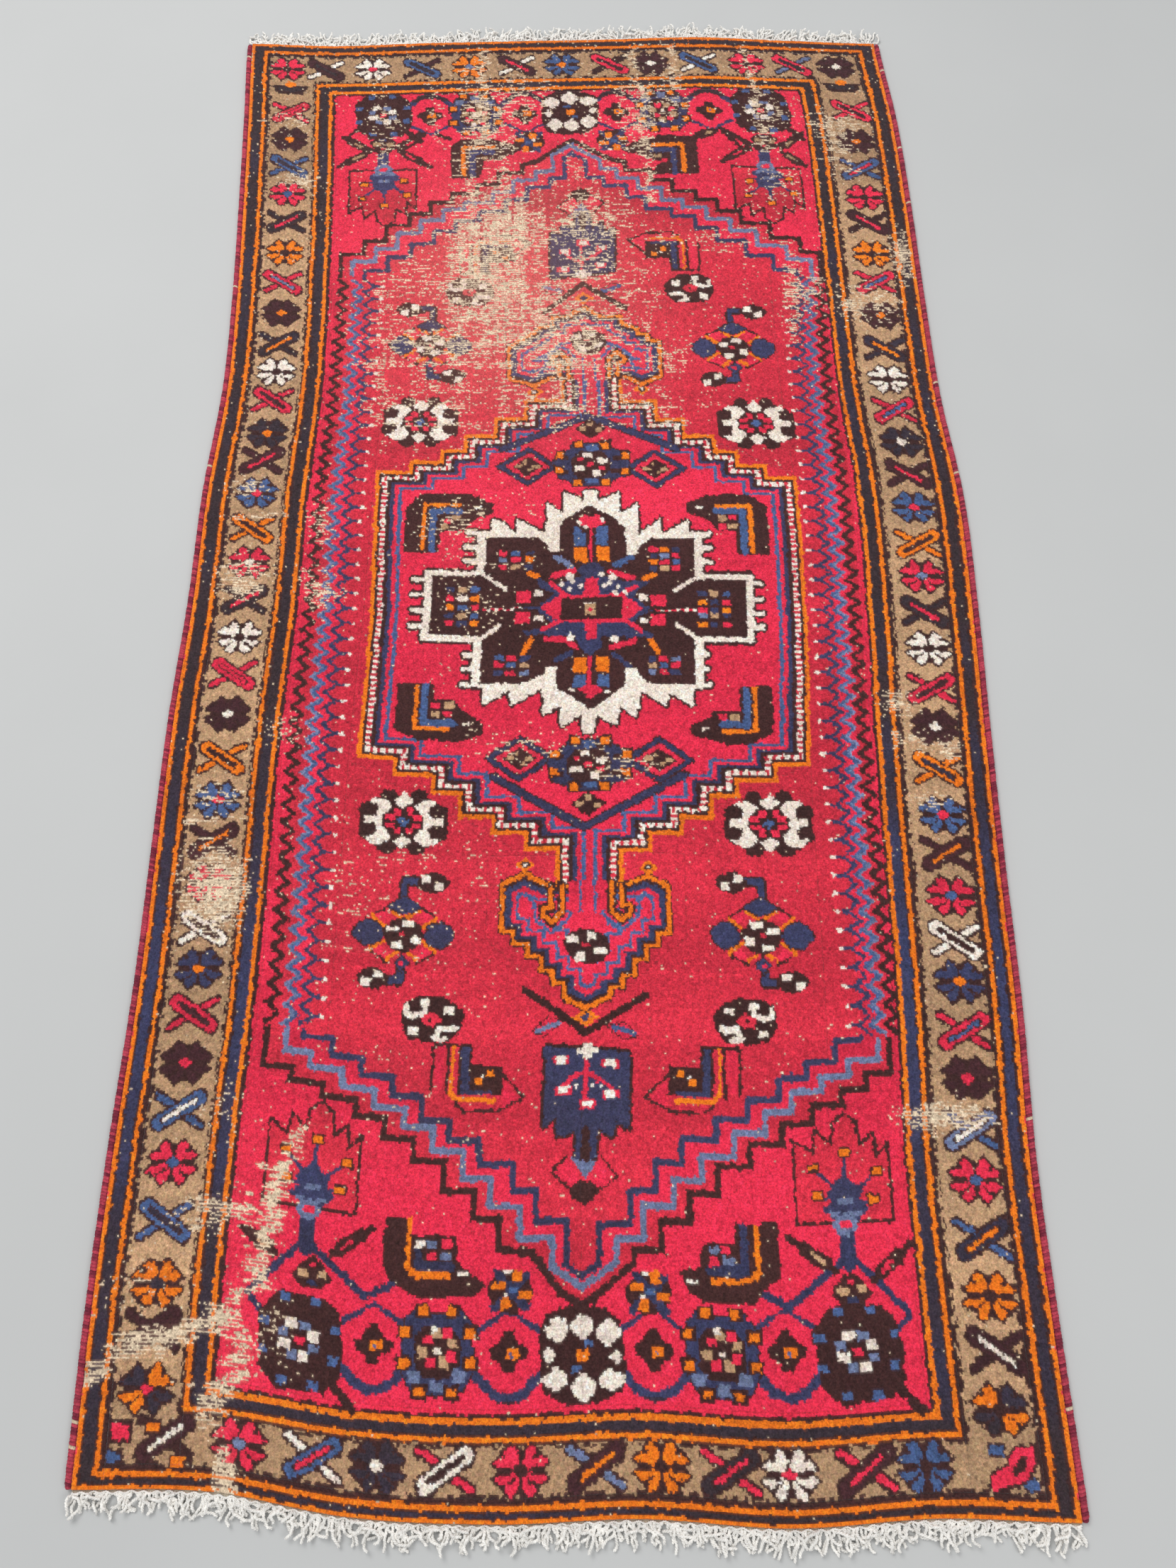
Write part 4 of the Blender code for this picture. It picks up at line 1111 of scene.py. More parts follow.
WORN_CREASES = (
    ((112, 4), (108, 60), 2.0, 0.55), ((103, 15), (105, 165), 2.2, 0.20),
    ((63, 18), (64, 70), 1.4, 0.20), ((120, 30), (122, 110), 1.8, 0.28),
    ((182, 4), (183, 90), 1.6, 0.45), ((198, 2), (199, 28), 1.6, 0.55),
    ((164, 90), (168, 145), 1.4, 0.30), ((233, 6), (236, 62), 1.6, 0.40),
    ((150, 60), (150, 130), 1.4, 0.25), ((88, 20), (90, 60), 1.2, 0.25),
    ((60, 158), (150, 160), 1.8, 0.25), ((55, 168), (165, 170), 1.8, 0.22),
    ((50, 187), (205, 189), 1.6, 0.08), ((60, 196), (190, 197), 1.4, 0.14),
    ((64, 448), (58, 460), 2.0, 0.70), ((58, 460), (54, 476), 2.4, 1.20),
    ((54, 476), (53, 490), 2.4, 1.10), ((53, 490), (44, 502), 2.8, 1.60),
    ((44, 502), (14, 511), 2.4, 1.50), ((14, 511), (2, 518), 1.8, 1.30),
    ((52, 507), (42, 524), 3.2, 1.00), ((42, 524), (46, 543), 1.8, 0.60),
    ((30, 471), (50, 473), 2.0, 0.70),
    ((60, 498), (44, 524), 1.6, 0.35), ((12, 238), (34, 236), 1.2, 0.25),
    ((13, 354), (33, 352), 1.2, 0.30), ((62, 392), (105, 395), 1.2, 0.10),
)
WORN_COLOURS = {ROSE: 1.25, DARK: 1.2, PLUM: 1.0, CAMEL: 0.9, RED: 0.8, NAVY: 1.0}


BARE_LIMIT = 0.85  # what wear tends to, however much of it adds up


def wear_map(design):
    """How worn each knot is: 0 is sound, and 1 is bare to the foundation."""
    worn = np.full(KNOTS, 0.004)
    for spot in WORN_SPOTS:
        worn_spot(worn, *spot)
    for crease in WORN_CREASES:
        worn_line(worn, *crease)
    rows = np.arange(ROWS)[:, None]
    worn += 0.005 * (design == ROSE) + 0.016 * np.clip(1 - rows / 260, 0, 1)
    worn *= 1 + 0.6 * smooth_noise(*KNOTS, 9, 7) + 0.5 * smooth_noise(*KNOTS, 40, 1.4)
    worn *= 1 + 0.5 * smooth_noise(*KNOTS, 0.6, 12)
    worn = BARE_LIMIT * (1 - np.exp(-worn.clip(0) / BARE_LIMIT))
    for colour, share in WORN_COLOURS.items():
        worn[design == colour] *= share
    return worn.clip(0, 1.2)


def bare_facets(worn):
    """Where the wool has gone: in dashes along the wefts between rows, down warps, in specks."""
    shape = worn.shape
    weft = (np.arange(shape[0]) % FINE == FINE - 1)[:, None]
    weight = np.where(weft, 1.55, 0.60)
    gone = np.minimum(dashes(shape, 3 * FINE, 1), dashes(shape, FINE, 5 * FINE) + 0.25)
    specks = dashes(shape, 2, 1)
    return ((gone < worn * weight) & (worn > 0.05)) | (specks < 0.45 * worn * weight)


# ---------------------------------------------------------------------- colour by facet


def design_facets():
    """The chart as woven: tufts lean over their neighbours, so every line wavers a little."""
    rows, columns = np.indices(chart.shape)
    rows = rows + np.rint(0.85 * smooth_noise(*chart.shape, 2.2, 2.6)).astype(int)
    columns = columns + np.rint(0.95 * smooth_noise(*chart.shape, 2.2, 2.6)).astype(int)
    woven = chart[rows.clip(0, chart.shape[0] - 1), columns.clip(0, chart.shape[1] - 1)]
    return woven[:: GRAIN // FINE, :: GRAIN // FINE]


FIELD = slice(34, 516), slice(44, 254)  # rows and columns inside the guards
BLUE_BATCH, BLUE_BATCH_ROWS = 410, 60  # the middle row and spread of the guards' bluer batch


def abrash(colours, design):
    """Hand-dyed wool: batches change by bands of rows, and each knot differs a little."""
    for colour in range(len(WOOLS)):
        bands = 1 + 0.13 * smooth_noise(ROWS, 1, 23, 1) + 0.06 * smooth_noise(ROWS, 1, 3, 1)
        where = design == colour
        colours[where] *= np.broadcast_to(facets(bands)[:, :1], design.shape)[where][:, None]
    navy = (design == NAVY)[..., None]
    # The navy of the guards is nearly black but for one batch, two thirds of the way down.
    batch = 0.85 * np.exp(-(((np.arange(ROWS)[:, None] - BLUE_BATCH) / BLUE_BATCH_ROWS) ** 2))
    blueness = np.repeat(batch, KNOTS[1], 1)
    blueness[FIELD] = 0.9
    blueness = facets(np.clip(blueness + 0.25 * smooth_noise(*KNOTS, 17, 120), 0, 1))[..., None]
    colours[:] = np.where(navy, colours * blueness + CHARCOAL * (1 - blueness), colours)
    colours *= facets(1 + 0.12 * dice.normal(size=KNOTS))[..., None]
    colours *= 1 + 0.10 * dice.normal(size=design.shape)[..., None]
    colours *= 1 + 0.04 * dice.normal(size=colours.shape)
    colours *= facets(1 + 0.06 * smooth_noise(*KNOTS, 40, 34))[..., None]
    return colours


def facet_colours(design, worn, bare):
    """A colour for every facet, faded where the pile is thin, and cotton where it is gone."""
    colours = abrash(WOOLS[design], design)
    rows, columns = np.indices(design.shape) / FINE
    faded = np.exp(-(((columns - 122) / 48) ** 2 + ((rows - 135) / 52) ** 2))
    pale = (0.24 * faded + 0.30 * worn.clip(0, 0.7)).clip(0, 0.5)
    pale = (np.where(np.isin(design, (DARK, NAVY, BLUE, PLUM)), 0.5, 1) * pale)[..., None]
    colours = colours * (1 - pale) + FADED * pale
    cotton = WOOLS[BARE] * (1 + 0.14 * dice.normal(size=design.shape)[..., None])
    cotton *= 1 - 0.25 * (dashes(design.shape, 2 * FINE, 1) > 0.62)[..., None]
    colours[bare] = cotton[bare]
    return colours.clip(0.004, 0.93)


# ----------------------------------------------------------------------- places on the rug


def stray(stations, share):
    """The CAD model's smooth curve through the stations, in metres, for a whole array."""
    stations = np.array(stations, float)
    place = np.clip(share, 0, 1) * (len(stations) - 1)
    index = np.minimum(place.astype(int), len(stations) - 2)
    rest = place - index
    before, start = stations[np.maximum(index - 1, 0)], stations[index]
    end, after = stations[index + 1], stations[np.minimum(index + 2, len(stations) - 1)]
    cubic = 3 * (start - end) + after - before
    value = (end - before) + rest * (2 * before - 5 * start + 4 * end - after) + rest**2 * cubic
    return (start + 0.5 * rest * value) / 1000


def on_rug(across, along):
    left, right = stray(LEFT_STRAY, along), stray(RIGHT_STRAY, along)
    low, high = stray(NEAR_STRAY, across), stray(FAR_STRAY, across)
    x = (across - 0.5) * WIDTH - (1 - across) * left + across * right
    y = (along - 0.5) * LENGTH - (1 - along) * low + along * high
    return x, y


def at_knot(column, row):
    """The plan place of a pile column and row, before the rug is centred."""
    pile_width = WIDTH - 2 * SIDE_CORD_WIDTH
    across = (SIDE_CORD_WIDTH + pile_width * np.asarray(column, float) / COLUMNS) / WIDTH
    return on_rug(across, 1 - np.asarray(row, float) / ROWS)


def find_shift():
    """How far the CAD model was moved to centre it, from its own boxes."""
    stations = np.array([*range(0, ROWS, 12), ROWS])
    cord_x = on_rug(SIDE_CORD_WIDTH / 2 / WIDTH, 1 - stations / ROWS)[0].min()
    shift_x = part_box("side_cord_left")[0].x - (cord_x - SIDE_CORD_WIDTH / 2)
    stations = np.array([*range(0, COLUMNS, 12), COLUMNS])
    end_y = at_knot(stations, ROWS)[1].min() - END_WEAVE - NEAR_FRINGE
    return shift_x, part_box("fringe_near")[0].y - end_y


SHIFT_X, SHIFT_Y = find_shift()


# ------------------------------------------------------------------------------- the pile


def around(values):
    """The mean of the facets that meet at each point of the grid."""
    padded = np.pad(values, [(1, 1), (1, 1)] + [(0, 0)] * (values.ndim - 2), "edge")
    return (padded[:-1, :-1] + padded[1:, :-1] + padded[:-1, 1:] + padded[1:, 1:]) / 4


def pile_surface(worn, bare):
    """The grid's points over the whole rug: a tuft's crest in the middle of each knot."""
    height = facets(0.00016 * dice.normal(size=KNOTS) + 0.00012 * smooth_noise(*KNOTS, 12, 12))
    height += PILE_TOP - 0.0005 - 0.0021 * worn.clip(0, 1)
    height[bare] -= 0.55 * (height[bare] - FOUNDATION_TOP - 0.0011)
    z = around(height[:, PILE])
    rows, columns = np.arange(ROWS * FINE + 1) / FINE, np.arange(COLUMNS * FINE + 1) / FINE
    row_edge, column_edge = (rows % 1 == 0)[:, None], (columns % 1 == 0)[None, :]
    bareness = around(bare[:, PILE].astype(float))
    if FINE > 1:
        z = z - (0.00080 * row_edge + 0.00050 * column_edge) * (1 - 0.7 * bareness)
    column_grid, row_grid = np.meshgrid(columns, rows)
    x, y = at_knot(column_grid, row_grid)
    edge = np.minimum(np.minimum(row_grid, ROWS - row_grid), 6) / 6
    edge = edge * np.minimum(np.minimum(column_grid, COLUMNS - column_grid), 6) / 6
    wander = smooth_noise(*z.shape, 60 * FINE, 40 * FINE)
    y += edge * (0.0011 * wander + 0.00028 * dice.normal(size=z.shape))
    wander = smooth_noise(*z.shape, 9 * FINE, 30 * FINE)
    x += edge * (0.0006 * wander + 0.00028 * dice.normal(size=z.shape))
    y -= edge * 0.0005 * ~row_edge * (1 - bareness)  # the pile leans towards the near end
    z += 0.00012 * dice.normal(size=z.shape)
    z = z.clip(FOUNDATION_TOP + 0.0006, PILE_TOP - 0.0001)
    return np.stack((x + SHIFT_X, y + SHIFT_Y, z), -1)


def corner_colours(colours):
    """Four colours for each facet, a little blended with its neighbours at the corners."""
    shared = around(colours)
    corners = np.stack((shared[:-1, :-1], shared[1:, :-1], shared[1:, 1:], shared[:-1, 1:]), 2)
    return colours[:, :, None] * 0.68 + corners * 0.32


def edge_loops(mask):
    """The closed loops of grid points round a mask, which is on their left seen from above."""
    padded = np.pad(mask, 1)
    inner = padded[1:-1, 1:-1]
    follow = {}

    def add(where, start, end):
        for row, column in zip(*np.nonzero(where)):
            first = (row + start[0], column + start[1])
            follow.setdefault(first, []).append((row + end[0], column + end[1]))

    add(inner & ~padded[:-2, 1:-1], (0, 1), (0, 0))
    add(inner & ~padded[1:-1, :-2], (0, 0), (1, 0))
    add(inner & ~padded[2:, 1:-1], (1, 0), (1, 1))
    add(inner & ~padded[1:-1, 2:], (1, 1), (0, 1))
    loops = []
    while follow:
        start = place = next(iter(follow))
        loop = []
        while True:
            loop.append(place)
            onwards = follow[place]
            after = onwards.pop()
            if not onwards:
                del follow[place]
            place = after
            if place == start:
                break
        loops.append([row * (mask.shape[1] + 1) + column for row, column in loop])
    return loops


def make_mesh(name, points, faces, colours=None, smooth=True):
    """A mesh from an array of points and groups of faces, with a colour for each corner."""
    mesh = bpy.data.meshes.new(name)
    mesh.vertices.add(len(points))
    mesh.vertices.foreach_set("co", np.asarray(points, np.float32).ravel())
    corners = np.concatenate([np.asarray(group, np.int32).ravel() for group in faces])
    counts = np.concatenate([np.full(len(group), np.shape(group)[1]) for group in faces])
    mesh.loops.add(len(corners))
    mesh.loops.foreach_set("vertex_index", corners)
    mesh.polygons.add(len(counts))
    mesh.polygons.foreach_set("loop_start", np.concatenate(([0], counts.cumsum()[:-1])))
    if colours is not None:
        layer = mesh.color_attributes.new("wool", "FLOAT_COLOR", "CORNER")
        values = np.ones((len(corners), 4), np.float32)
        values[:, :3] = colours
        layer.data.foreach_set("color", values.ravel())
    mesh.polygons.foreach_set("use_smooth", np.full(len(counts), smooth))
    mesh.update(calc_edges=True)
    mesh.validate()
    return mesh


def add_piece(name, mesh, material, slot, *nodes):
    """Adds a piece of the rug in place of its CAD nodes."""
    mesh.materials.append(material)
    piece = bpy.data.objects.new(name, mesh)
    bpy.context.scene.collection.objects.link(piece)
    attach(piece, "root")
    if nodes:
        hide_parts(*nodes)
    return piece


def solid_piece(name, knots, surface, colours, fine, base):
    """A closed mesh over some knots: the fine surface, its sides painted darker as shade, and a
    flat face at the base.
    """
    mask = np.repeat(np.repeat(knots, fine, 0), fine, 1)
    width = surface.shape[1]
    rows, columns = np.nonzero(mask)
    first = rows * width + columns
    quads = np.stack((first, first + width, first + width + 1, first + 1), 1)
    loops = [np.array(loop) for loop in edge_loops(mask)]
    rim = np.unique(np.concatenate(loops))
    points = surface.reshape(-1, 3)
    used = np.unique(quads)
    place, lower = np.zeros((2, len(points)), np.int64)
    place[used] = np.arange(len(used))
    lower[rim] = len(used) + np.arange(len(rim))
    base_points = points[rim].copy()
    base_points[:, 2] = base
    rim_colours = np.zeros((len(points), 3))
    for corner in range(4):
        rim_colours[quads[:, corner]] = colours[rows, columns, corner]
    faces, tones = [place[quads]], [colours[rows, columns].reshape(-1, 3)]
    for loop in loops:
        after = np.roll(loop, -1)
        faces.append(np.stack((place[loop], lower[loop], lower[after], place[after]), 1))
        # Painted shade: the sides take the colour of the surface's rim at 0.6 of its brightness.
        tones.append(np.repeat(rim_colours[loop], 4, 0) * 0.6)
        faces.append(lower[loop][::-1][None, :])
        tones.append(rim_colours[loop][::-1])
    points = np.concatenate((points[used], base_points))
    return make_mesh(name, points, faces, np.concatenate(tones))


# ------------------------------------------------------------------------------ materials


class Shading:
    """Builds one material's nodes."""

    def __init__(self, name, roughness, sheen=0.0, sheen_tint=(1, 1, 1)):
        self.material = bpy.data.materials.new(name)
        self.material.use_nodes = True
        self.tree = self.material.node_tree
        self.shader = self.tree.nodes["Principled BSDF"]
        self.set("Roughness", roughness)
        self.set("Specular IOR Level", 0.25)
        self.set("Sheen Weight", sheen)
        self.set("Sheen Roughness", 0.45)
        self.set("Sheen Tint", (*sheen_tint, 1))
        self.place = self.tree.nodes.new("ShaderNodeTexCoord").outputs["Object"]

    def set(self, socket, value):
        self.shader.inputs[socket].default_value = value

    def join(self, output, socket):
        self.tree.links.new(output, self.shader.inputs[socket])

    def node(self, kind, inputs=(), **settings):
        node = self.tree.nodes.new("ShaderNode" + kind)
        for key, value in settings.items():
            setattr(node, key, value)
        for key, value in dict(inputs).items():
            if isinstance(value, bpy.types.NodeSocket):
                self.tree.links.new(value, node.inputs[key])
            else:
                node.inputs[key].default_value = value
        return node

    def noise(self, scale, detail=2.0, stretch=(1, 1, 1)):
        mapping = self.node("Mapping", {"Vector": self.place, "Scale": stretch})
        inputs = {"Vector": mapping.outputs[0], "Scale": scale, "Detail": detail}
        return self.node("TexNoise", inputs).outputs["Fac"]

    def spread(self, value, low, high, to_low, to_high):
        inputs = {"Value": value, "From Min": low, "From Max": high}
        inputs |= {"To Min": to_low, "To Max": to_high}
        return self.node("MapRange", inputs).outputs["Result"]

    def scaled(self, colour, factor):
        """A colour made lighter or darker by a factor."""
        inputs = {0: 1.0, 6: colour, 7: factor}
        return self.node("Mix", inputs, data_type="RGBA", blend_type="MULTIPLY").outputs[2]

    def bump(self, height, strength, distance):
        inputs = {"Height": height, "Strength": strength, "Distance": distance}
        self.join(self.node("Bump", inputs).outputs["Normal"], "Normal")


def wool(name, sheen, fibre=0.32, tint=(1, 1, 1)):
    """Knotted wool: each knot's own colour, with fibres across it that catch the light."""
    shading = Shading(name, 0.9, sheen, tint)
    colour = shading.node("Attribute", attribute_name="wool").outputs["Color"]
    fibres = shading.noise(1250, 3.0, (1.0, 0.45, 1.0))
    tufts = shading.noise(420, 1.0)
    both = shading.node("Math", {0: fibres, 1: tufts}, operation="ADD").outputs[0]
    factor = shading.spread(both, 0.70, 1.30, 1 - fibre, 1 + fibre)
    shading.join(shading.scaled(colour, factor), "Base Color")
    shading.join(shading.spread(tufts, 0.3, 0.7, 0.98, 0.82), "Roughness")
    shading.bump(both, 0.55, 0.0008)
    return shading.material


def cotton(name, colour, weave):
    """Undyed cotton, with a plain weave where weave is the threads' pitch in metres."""
    shading = Shading(name, 0.88, 0.15)
    spots = shading.noise(160, 3.0)
    tone = shading.node("RGB")
    tone.outputs[0].default_value = (*colour, 1)
    factor = shading.spread(spots, 0.3, 0.7, 0.8, 1.12)
    shading.join(shading.scaled(tone.outputs[0], factor), "Base Color")
    if weave:
        turns = {"Vector": shading.place, "Scale": 1 / weave / 2, "Distortion": 1.5}
        down = shading.node("TexWave", turns, bands_direction="Y").outputs["Fac"]
        across = shading.node("TexWave", turns, bands_direction="X").outputs["Fac"]
        height = shading.node("Math", {0: down, 1: across}, operation="ADD").outputs[0]
        shading.bump(height, 0.8, 0.0006)
    else:
        shading.bump(shading.noise(1600, 2.0), 0.4, 0.0004)
    return shading.material


# ---------------------------------------------------------- foundation, backs, sides, ends


SHEET_BASE = 0.0011  # the sheet lies over the backs of the knots


def make_foundation(material):
    """The woven cotton sheet, a little longer than the pile at both ends."""
    columns, rows = np.arange(COLUMNS + 1), np.arange(1, ROWS)
    far, close = at_knot(columns, 0), at_knot(columns, ROWS)
    left, right = at_knot(0, rows), at_knot(COLUMNS, rows)
    x = np.concatenate((far[0], right[0], close[0][::-1], left[0][::-1])) + SHIFT_X
    y = np.concatenate((far[1] + END_WEAVE, right[1], close[1][::-1] - END_WEAVE, left[1][::-1]))
    ripple = 0.0003 * np.sin(np.arange(len(x)) * 2.1)
    tops = np.stack((x, y + SHIFT_Y + ripple, np.full(len(x), FOUNDATION_TOP)), 1)
    bottoms = tops.copy()
    bottoms[:, 2] = SHEET_BASE
    count = len(tops)
    ring = np.arange(count)
    after = np.roll(ring, -1)
    sides = np.stack((ring, after, after + count, ring + count), 1)
    faces = [ring[::-1][None, :], sides, (ring + count)[None, :]]
    mesh = make_mesh("foundation", np.concatenate((tops, bottoms)), faces, smooth=False)
    return add_piece("foundation", mesh, material, "foundation_cotton", "foundation")


def make_backs(colours, material):
    """The underside, where the back of every knot shows its colour beside the warps."""
    rows, columns = np.arange(ROWS + 1), np.arange(COLUMNS + 1)
    column_grid, row_grid = np.meshgrid(columns, rows)
    x, y = at_knot(column_grid, row_grid)
    z = 0.0002 + 0.00012 * dice.random(x.shape)
    surface = np.stack((x + SHIFT_X, y + SHIFT_Y, z), -1)
    tones = colours[::FINE, PILE][:, ::FINE] * 0.82 + WOOLS[BARE] * 0.14
    tones = np.repeat(tones[:, :, None], 4, 2)
    pieces = []
    for side, start, end in (("left", 0, MIDDLE), ("right", MIDDLE, COLUMNS)):
        knots = np.zeros((ROWS, COLUMNS), bool)
        knots[:, start:end] = True
        name = "knot_backs_" + side
        pieces.append(solid_piece(name, knots, surface, tones, 1, 0.0009))
        pieces[-1].flip_normals()
    return [add_piece(mesh.name, mesh, material, "foundation_cotton") for mesh in pieces]


def around_path(path):
    """The level and the upward direction across a path at each of its points."""
    forward = np.gradient(path, axis=0)
    forward /= np.linalg.norm(forward, axis=1)[:, None] + 1e-12
    level = np.cross(forward, (0.0, 0.0, 1.0))
    level /= np.linalg.norm(level, axis=1)[:, None] + 1e-12
    return level, np.cross(level, forward)


def ring_quads(count, ring, after):
    """The faces between rings of points, each from a point in a ring to the one after it."""
    sides = len(ring)
    starts = (np.arange(count - 1) * sides)[:, None]
    corners = starts + ring, starts + after, starts + sides + after, starts + sides + ring
    return np.stack(corners, -1).reshape(-1, 4)


def tube(path, radius, sides):
    """Points and faces of a closed tube along a path of points."""
    level, upward = (direction[:, None] for direction in around_path(path))
    turn = (np.arange(sides) * 2 * math.pi / sides)[None, :, None]
    points = path[:, None] + radius[:, None, None] * (np.cos(turn) * level + np.sin(turn) * upward)
    ring = np.arange(sides)
    quads = ring_quads(len(path), ring, (ring + 1) % sides)
    last = (len(path) - 1) * sides
    return points.reshape(-1, 3), quads, np.stack((ring[::-1], last + ring))


PLIES, PLY_SIDES = 2, 4  # of the fringe's twisted warps
STRAND_STEP = 0.0022  # between the turns of a loose strand


class Bundle:
    """Collects tubes into one mesh."""

    def __init__(self):
        self.points, self.quads, self.caps, self.count = [], [], [], 0

    def add(self, path, radius):
        points, quads, caps = tube(path, radius, PLY_SIDES)
        self.points.append(points)
        self.quads.append(quads + self.count)
        self.caps.append(caps + self.count)
        self.count += len(points)

    def twisted(self, path, radius, pitch):
        """Plies wound round each other along a path."""
        path = np.asarray(path, float)
        gone = np.linalg.norm(np.diff(path, axis=0), axis=1)
        gone = np.concatenate(([0], gone.cumsum()))
        count = max(int(gone[-1] / (pitch / 5)), 4)
        marks = np.linspace(0, gone[-1], count)
        line = np.stack([np.interp(marks, gone, path[:, axis]) for axis in range(3)], 1)
        level, _ = around_path(line)
        start = dice.random() * 6.28
        for ply in range(PLIES):
            turn = start + marks / pitch * 2 * math.pi + ply * 2 * math.pi / PLIES
            offset = np.cos(turn)[:, None] * level + np.sin(turn)[:, None] * np.array((0, 0, 1.0))
            swell = np.full(count, radius * 0.56)
            swell[-1] *= 0.5
            self.add(line + offset * radius * 0.5, swell)

    def mesh(self, name):
        faces = [np.concatenate(self.quads), np.concatenate(self.caps)]
        return make_mesh(name, np.concatenate(self.points), faces)


CORD_PITCH = 0.0034


def make_side_cord(name, side, material):
    """Wool wound over the side warps: each turn is a ridge in its own tone of magenta, with painted
    shade in the grooves.
    """
    turns = round(LENGTH / CORD_PITCH)
    rings_per_turn = 4
    count = turns * rings_per_turn + 1
    phase = np.arange(count) / rings_per_turn
    along = 1 - phase / turns
    centre_share = 0.5 + side * (0.5 - SIDE_CORD_WIDTH / 2 / WIDTH)
    x, y = on_rug(centre_share, along)
    sides = 12
    angle = np.arange(sides) * 2 * math.pi / sides
    fatness = 1 - 0.11 * np.abs(2 * (phase % 1) - 1) ** 2
    uneven = np.interp(phase, np.arange(turns + 1), dice.normal(size=turns + 1))
    fatness *= 1 + 0.05 * uneven.clip(-1, 1)
    ends = np.minimum(np.minimum(phase, turns - phase) / 1.5, 1) ** 0.5
    fatness *= 0.45 + 0.55 * ends
    half_width, half_height = SIDE_CORD_WIDTH / 2 * 0.96, SIDE_CORD_HEIGHT / 2
    ring_x = x[:, None] + SHIFT_X + half_width * fatness[:, None] * np.cos(angle)
    slant = 0.0011 * np.cos(angle) * side * ends[:, None]
    ring_y = y[:, None] + SHIFT_Y + slant
    ring_z = half_height + half_height * fatness[:, None] * np.sin(angle)
    points = np.stack((ring_x, ring_y, ring_z), -1).reshape(-1, 3)
    ring = np.arange(sides)
    quads = ring_quads(count, (ring + 1) % sides, ring)
    caps = np.stack((ring, ((count - 1) * sides + ring)[::-1]))
    shade = (0.5 + 0.5 * dice.normal(size=turns + 1)).clip(0, 1)[:, None] ** 1.6
    turn_colour = DARK_MAGENTA * shade + MAGENTA * (1 - shade)
    turn_colour[dice.random(turns + 1) < 0.01] = WOOLS[BARE] * 0.8
    turn = np.minimum((np.arange(count - 1) + 0.5) // rings_per_turn, turns).astype(int)
    # Painted shade: each turn darkens by up to 35% towards both its ends, in the grooves between
    # turns.
    tones = turn_colour[turn] * (1 - 0.35 * np.abs(2 * (phase[:-1] % 1) - 1) ** 3)[:, None]
    tones = np.concatenate((np.repeat(tones, sides * 4, 0), np.tile(MAGENTA, (2 * sides, 1))))
    mesh = make_mesh(name, points, [quads, caps], tones)
    return add_piece(name, mesh, material, "side_cord_wool", name)


def make_fringe(name, row, length, strands, material):
    """Loose twisted warp ends, tangled as they lie, and the weft that loops along them."""
    outwards = 1 if row == 0 else -1
    bundle = Bundle()
    for strand in range(strands):
        column = (strand + 0.2 + 0.6 * dice.random()) * COLUMNS / strands
        x, y = at_knot(column, row)
        place = np.array((x + SHIFT_X, y + SHIFT_Y + outwards * (END_WEAVE - 0.001), 0.0021))
        reach = length * (0.45 + 0.55 * dice.random())
        heading, bend = dice.normal() * 0.35, dice.normal() * 0.25
        path = [place]
        gone = 0
        while gone < reach * 1.12 and (place[1] - path[0][1]) * outwards < length * 0.97:
            bend = 0.55 * bend + dice.normal() * 0.30 - heading * 0.10
            heading = np.clip(heading + bend, -1.5, 1.5)
            height = np.clip(place[2] + dice.normal() * 0.0014, 0.0017, 0.0075)
            step = math.sin(heading) * STRAND_STEP, outwards * math.cos(heading) * STRAND_STEP, 0
            place = place + np.array(step)
            place[2] = height
            path.append(place)
            gone += STRAND_STEP
        bundle.twisted(path, 0.0018, 0.0056)
    marks = np.linspace(0, COLUMNS, 900)
    x, y = at_knot(marks, row)
    swing = 0.0011 * np.sin(marks * 1.7) + 0.0005 * np.sin(marks * 0.61)
    line = np.stack((x + SHIFT_X, y + SHIFT_Y + outwards * (END_WEAVE * 0.75 + swing),
                     0.0036 + 0.0004 * np.cos(marks * 1.7)), 1)
    bundle.twisted(line, 0.0013, 0.0045)
    return add_piece(name, bundle.mesh(name), material, "fringe_cotton", name)


# ------------------------------------------------------------------------- the pile's areas

# The CAD model's pile areas, in pile columns and rows: the borders' strips and the field.
LEFT_STRIPS = (0, 9, 31, 41)
RIGHT_STRIPS = (251, 261, 282, 291)
FAR_STRIPS = (0, 7, 22, 30)
NEAR_STRIPS = (518, 526, 539, 545)
FAR_TIP, NEAR_TIP = (MIDDLE, 58), (MIDDLE, 492)
FAR_CORNER_ROW, NEAR_CORNER_ROW = 124, 429
LEFT_BAND, RIGHT_BAND = 65, 229
MEDALLION_SIDES = (218, 330)
SHOULDER = ((14, 6), (49, 22), (63, 33))  # columns inwards and rows beyond the sides
PENDANT_HALF_WIDTH = 34
FAR_PENDANT_ROWS = (140, 180)
NEAR_PENDANT_ROWS = (361, 388, 415)


def inside(*outline):
    """The pile's knots within an outline given in pile columns and rows."""
    rows, columns = np.indices((ROWS, COLUMNS)) + 0.5
    return within(outline, columns, rows)


def strip(left, right, top, bottom):
    return inside((left, top), (right, top), (right, bottom), (left, bottom))


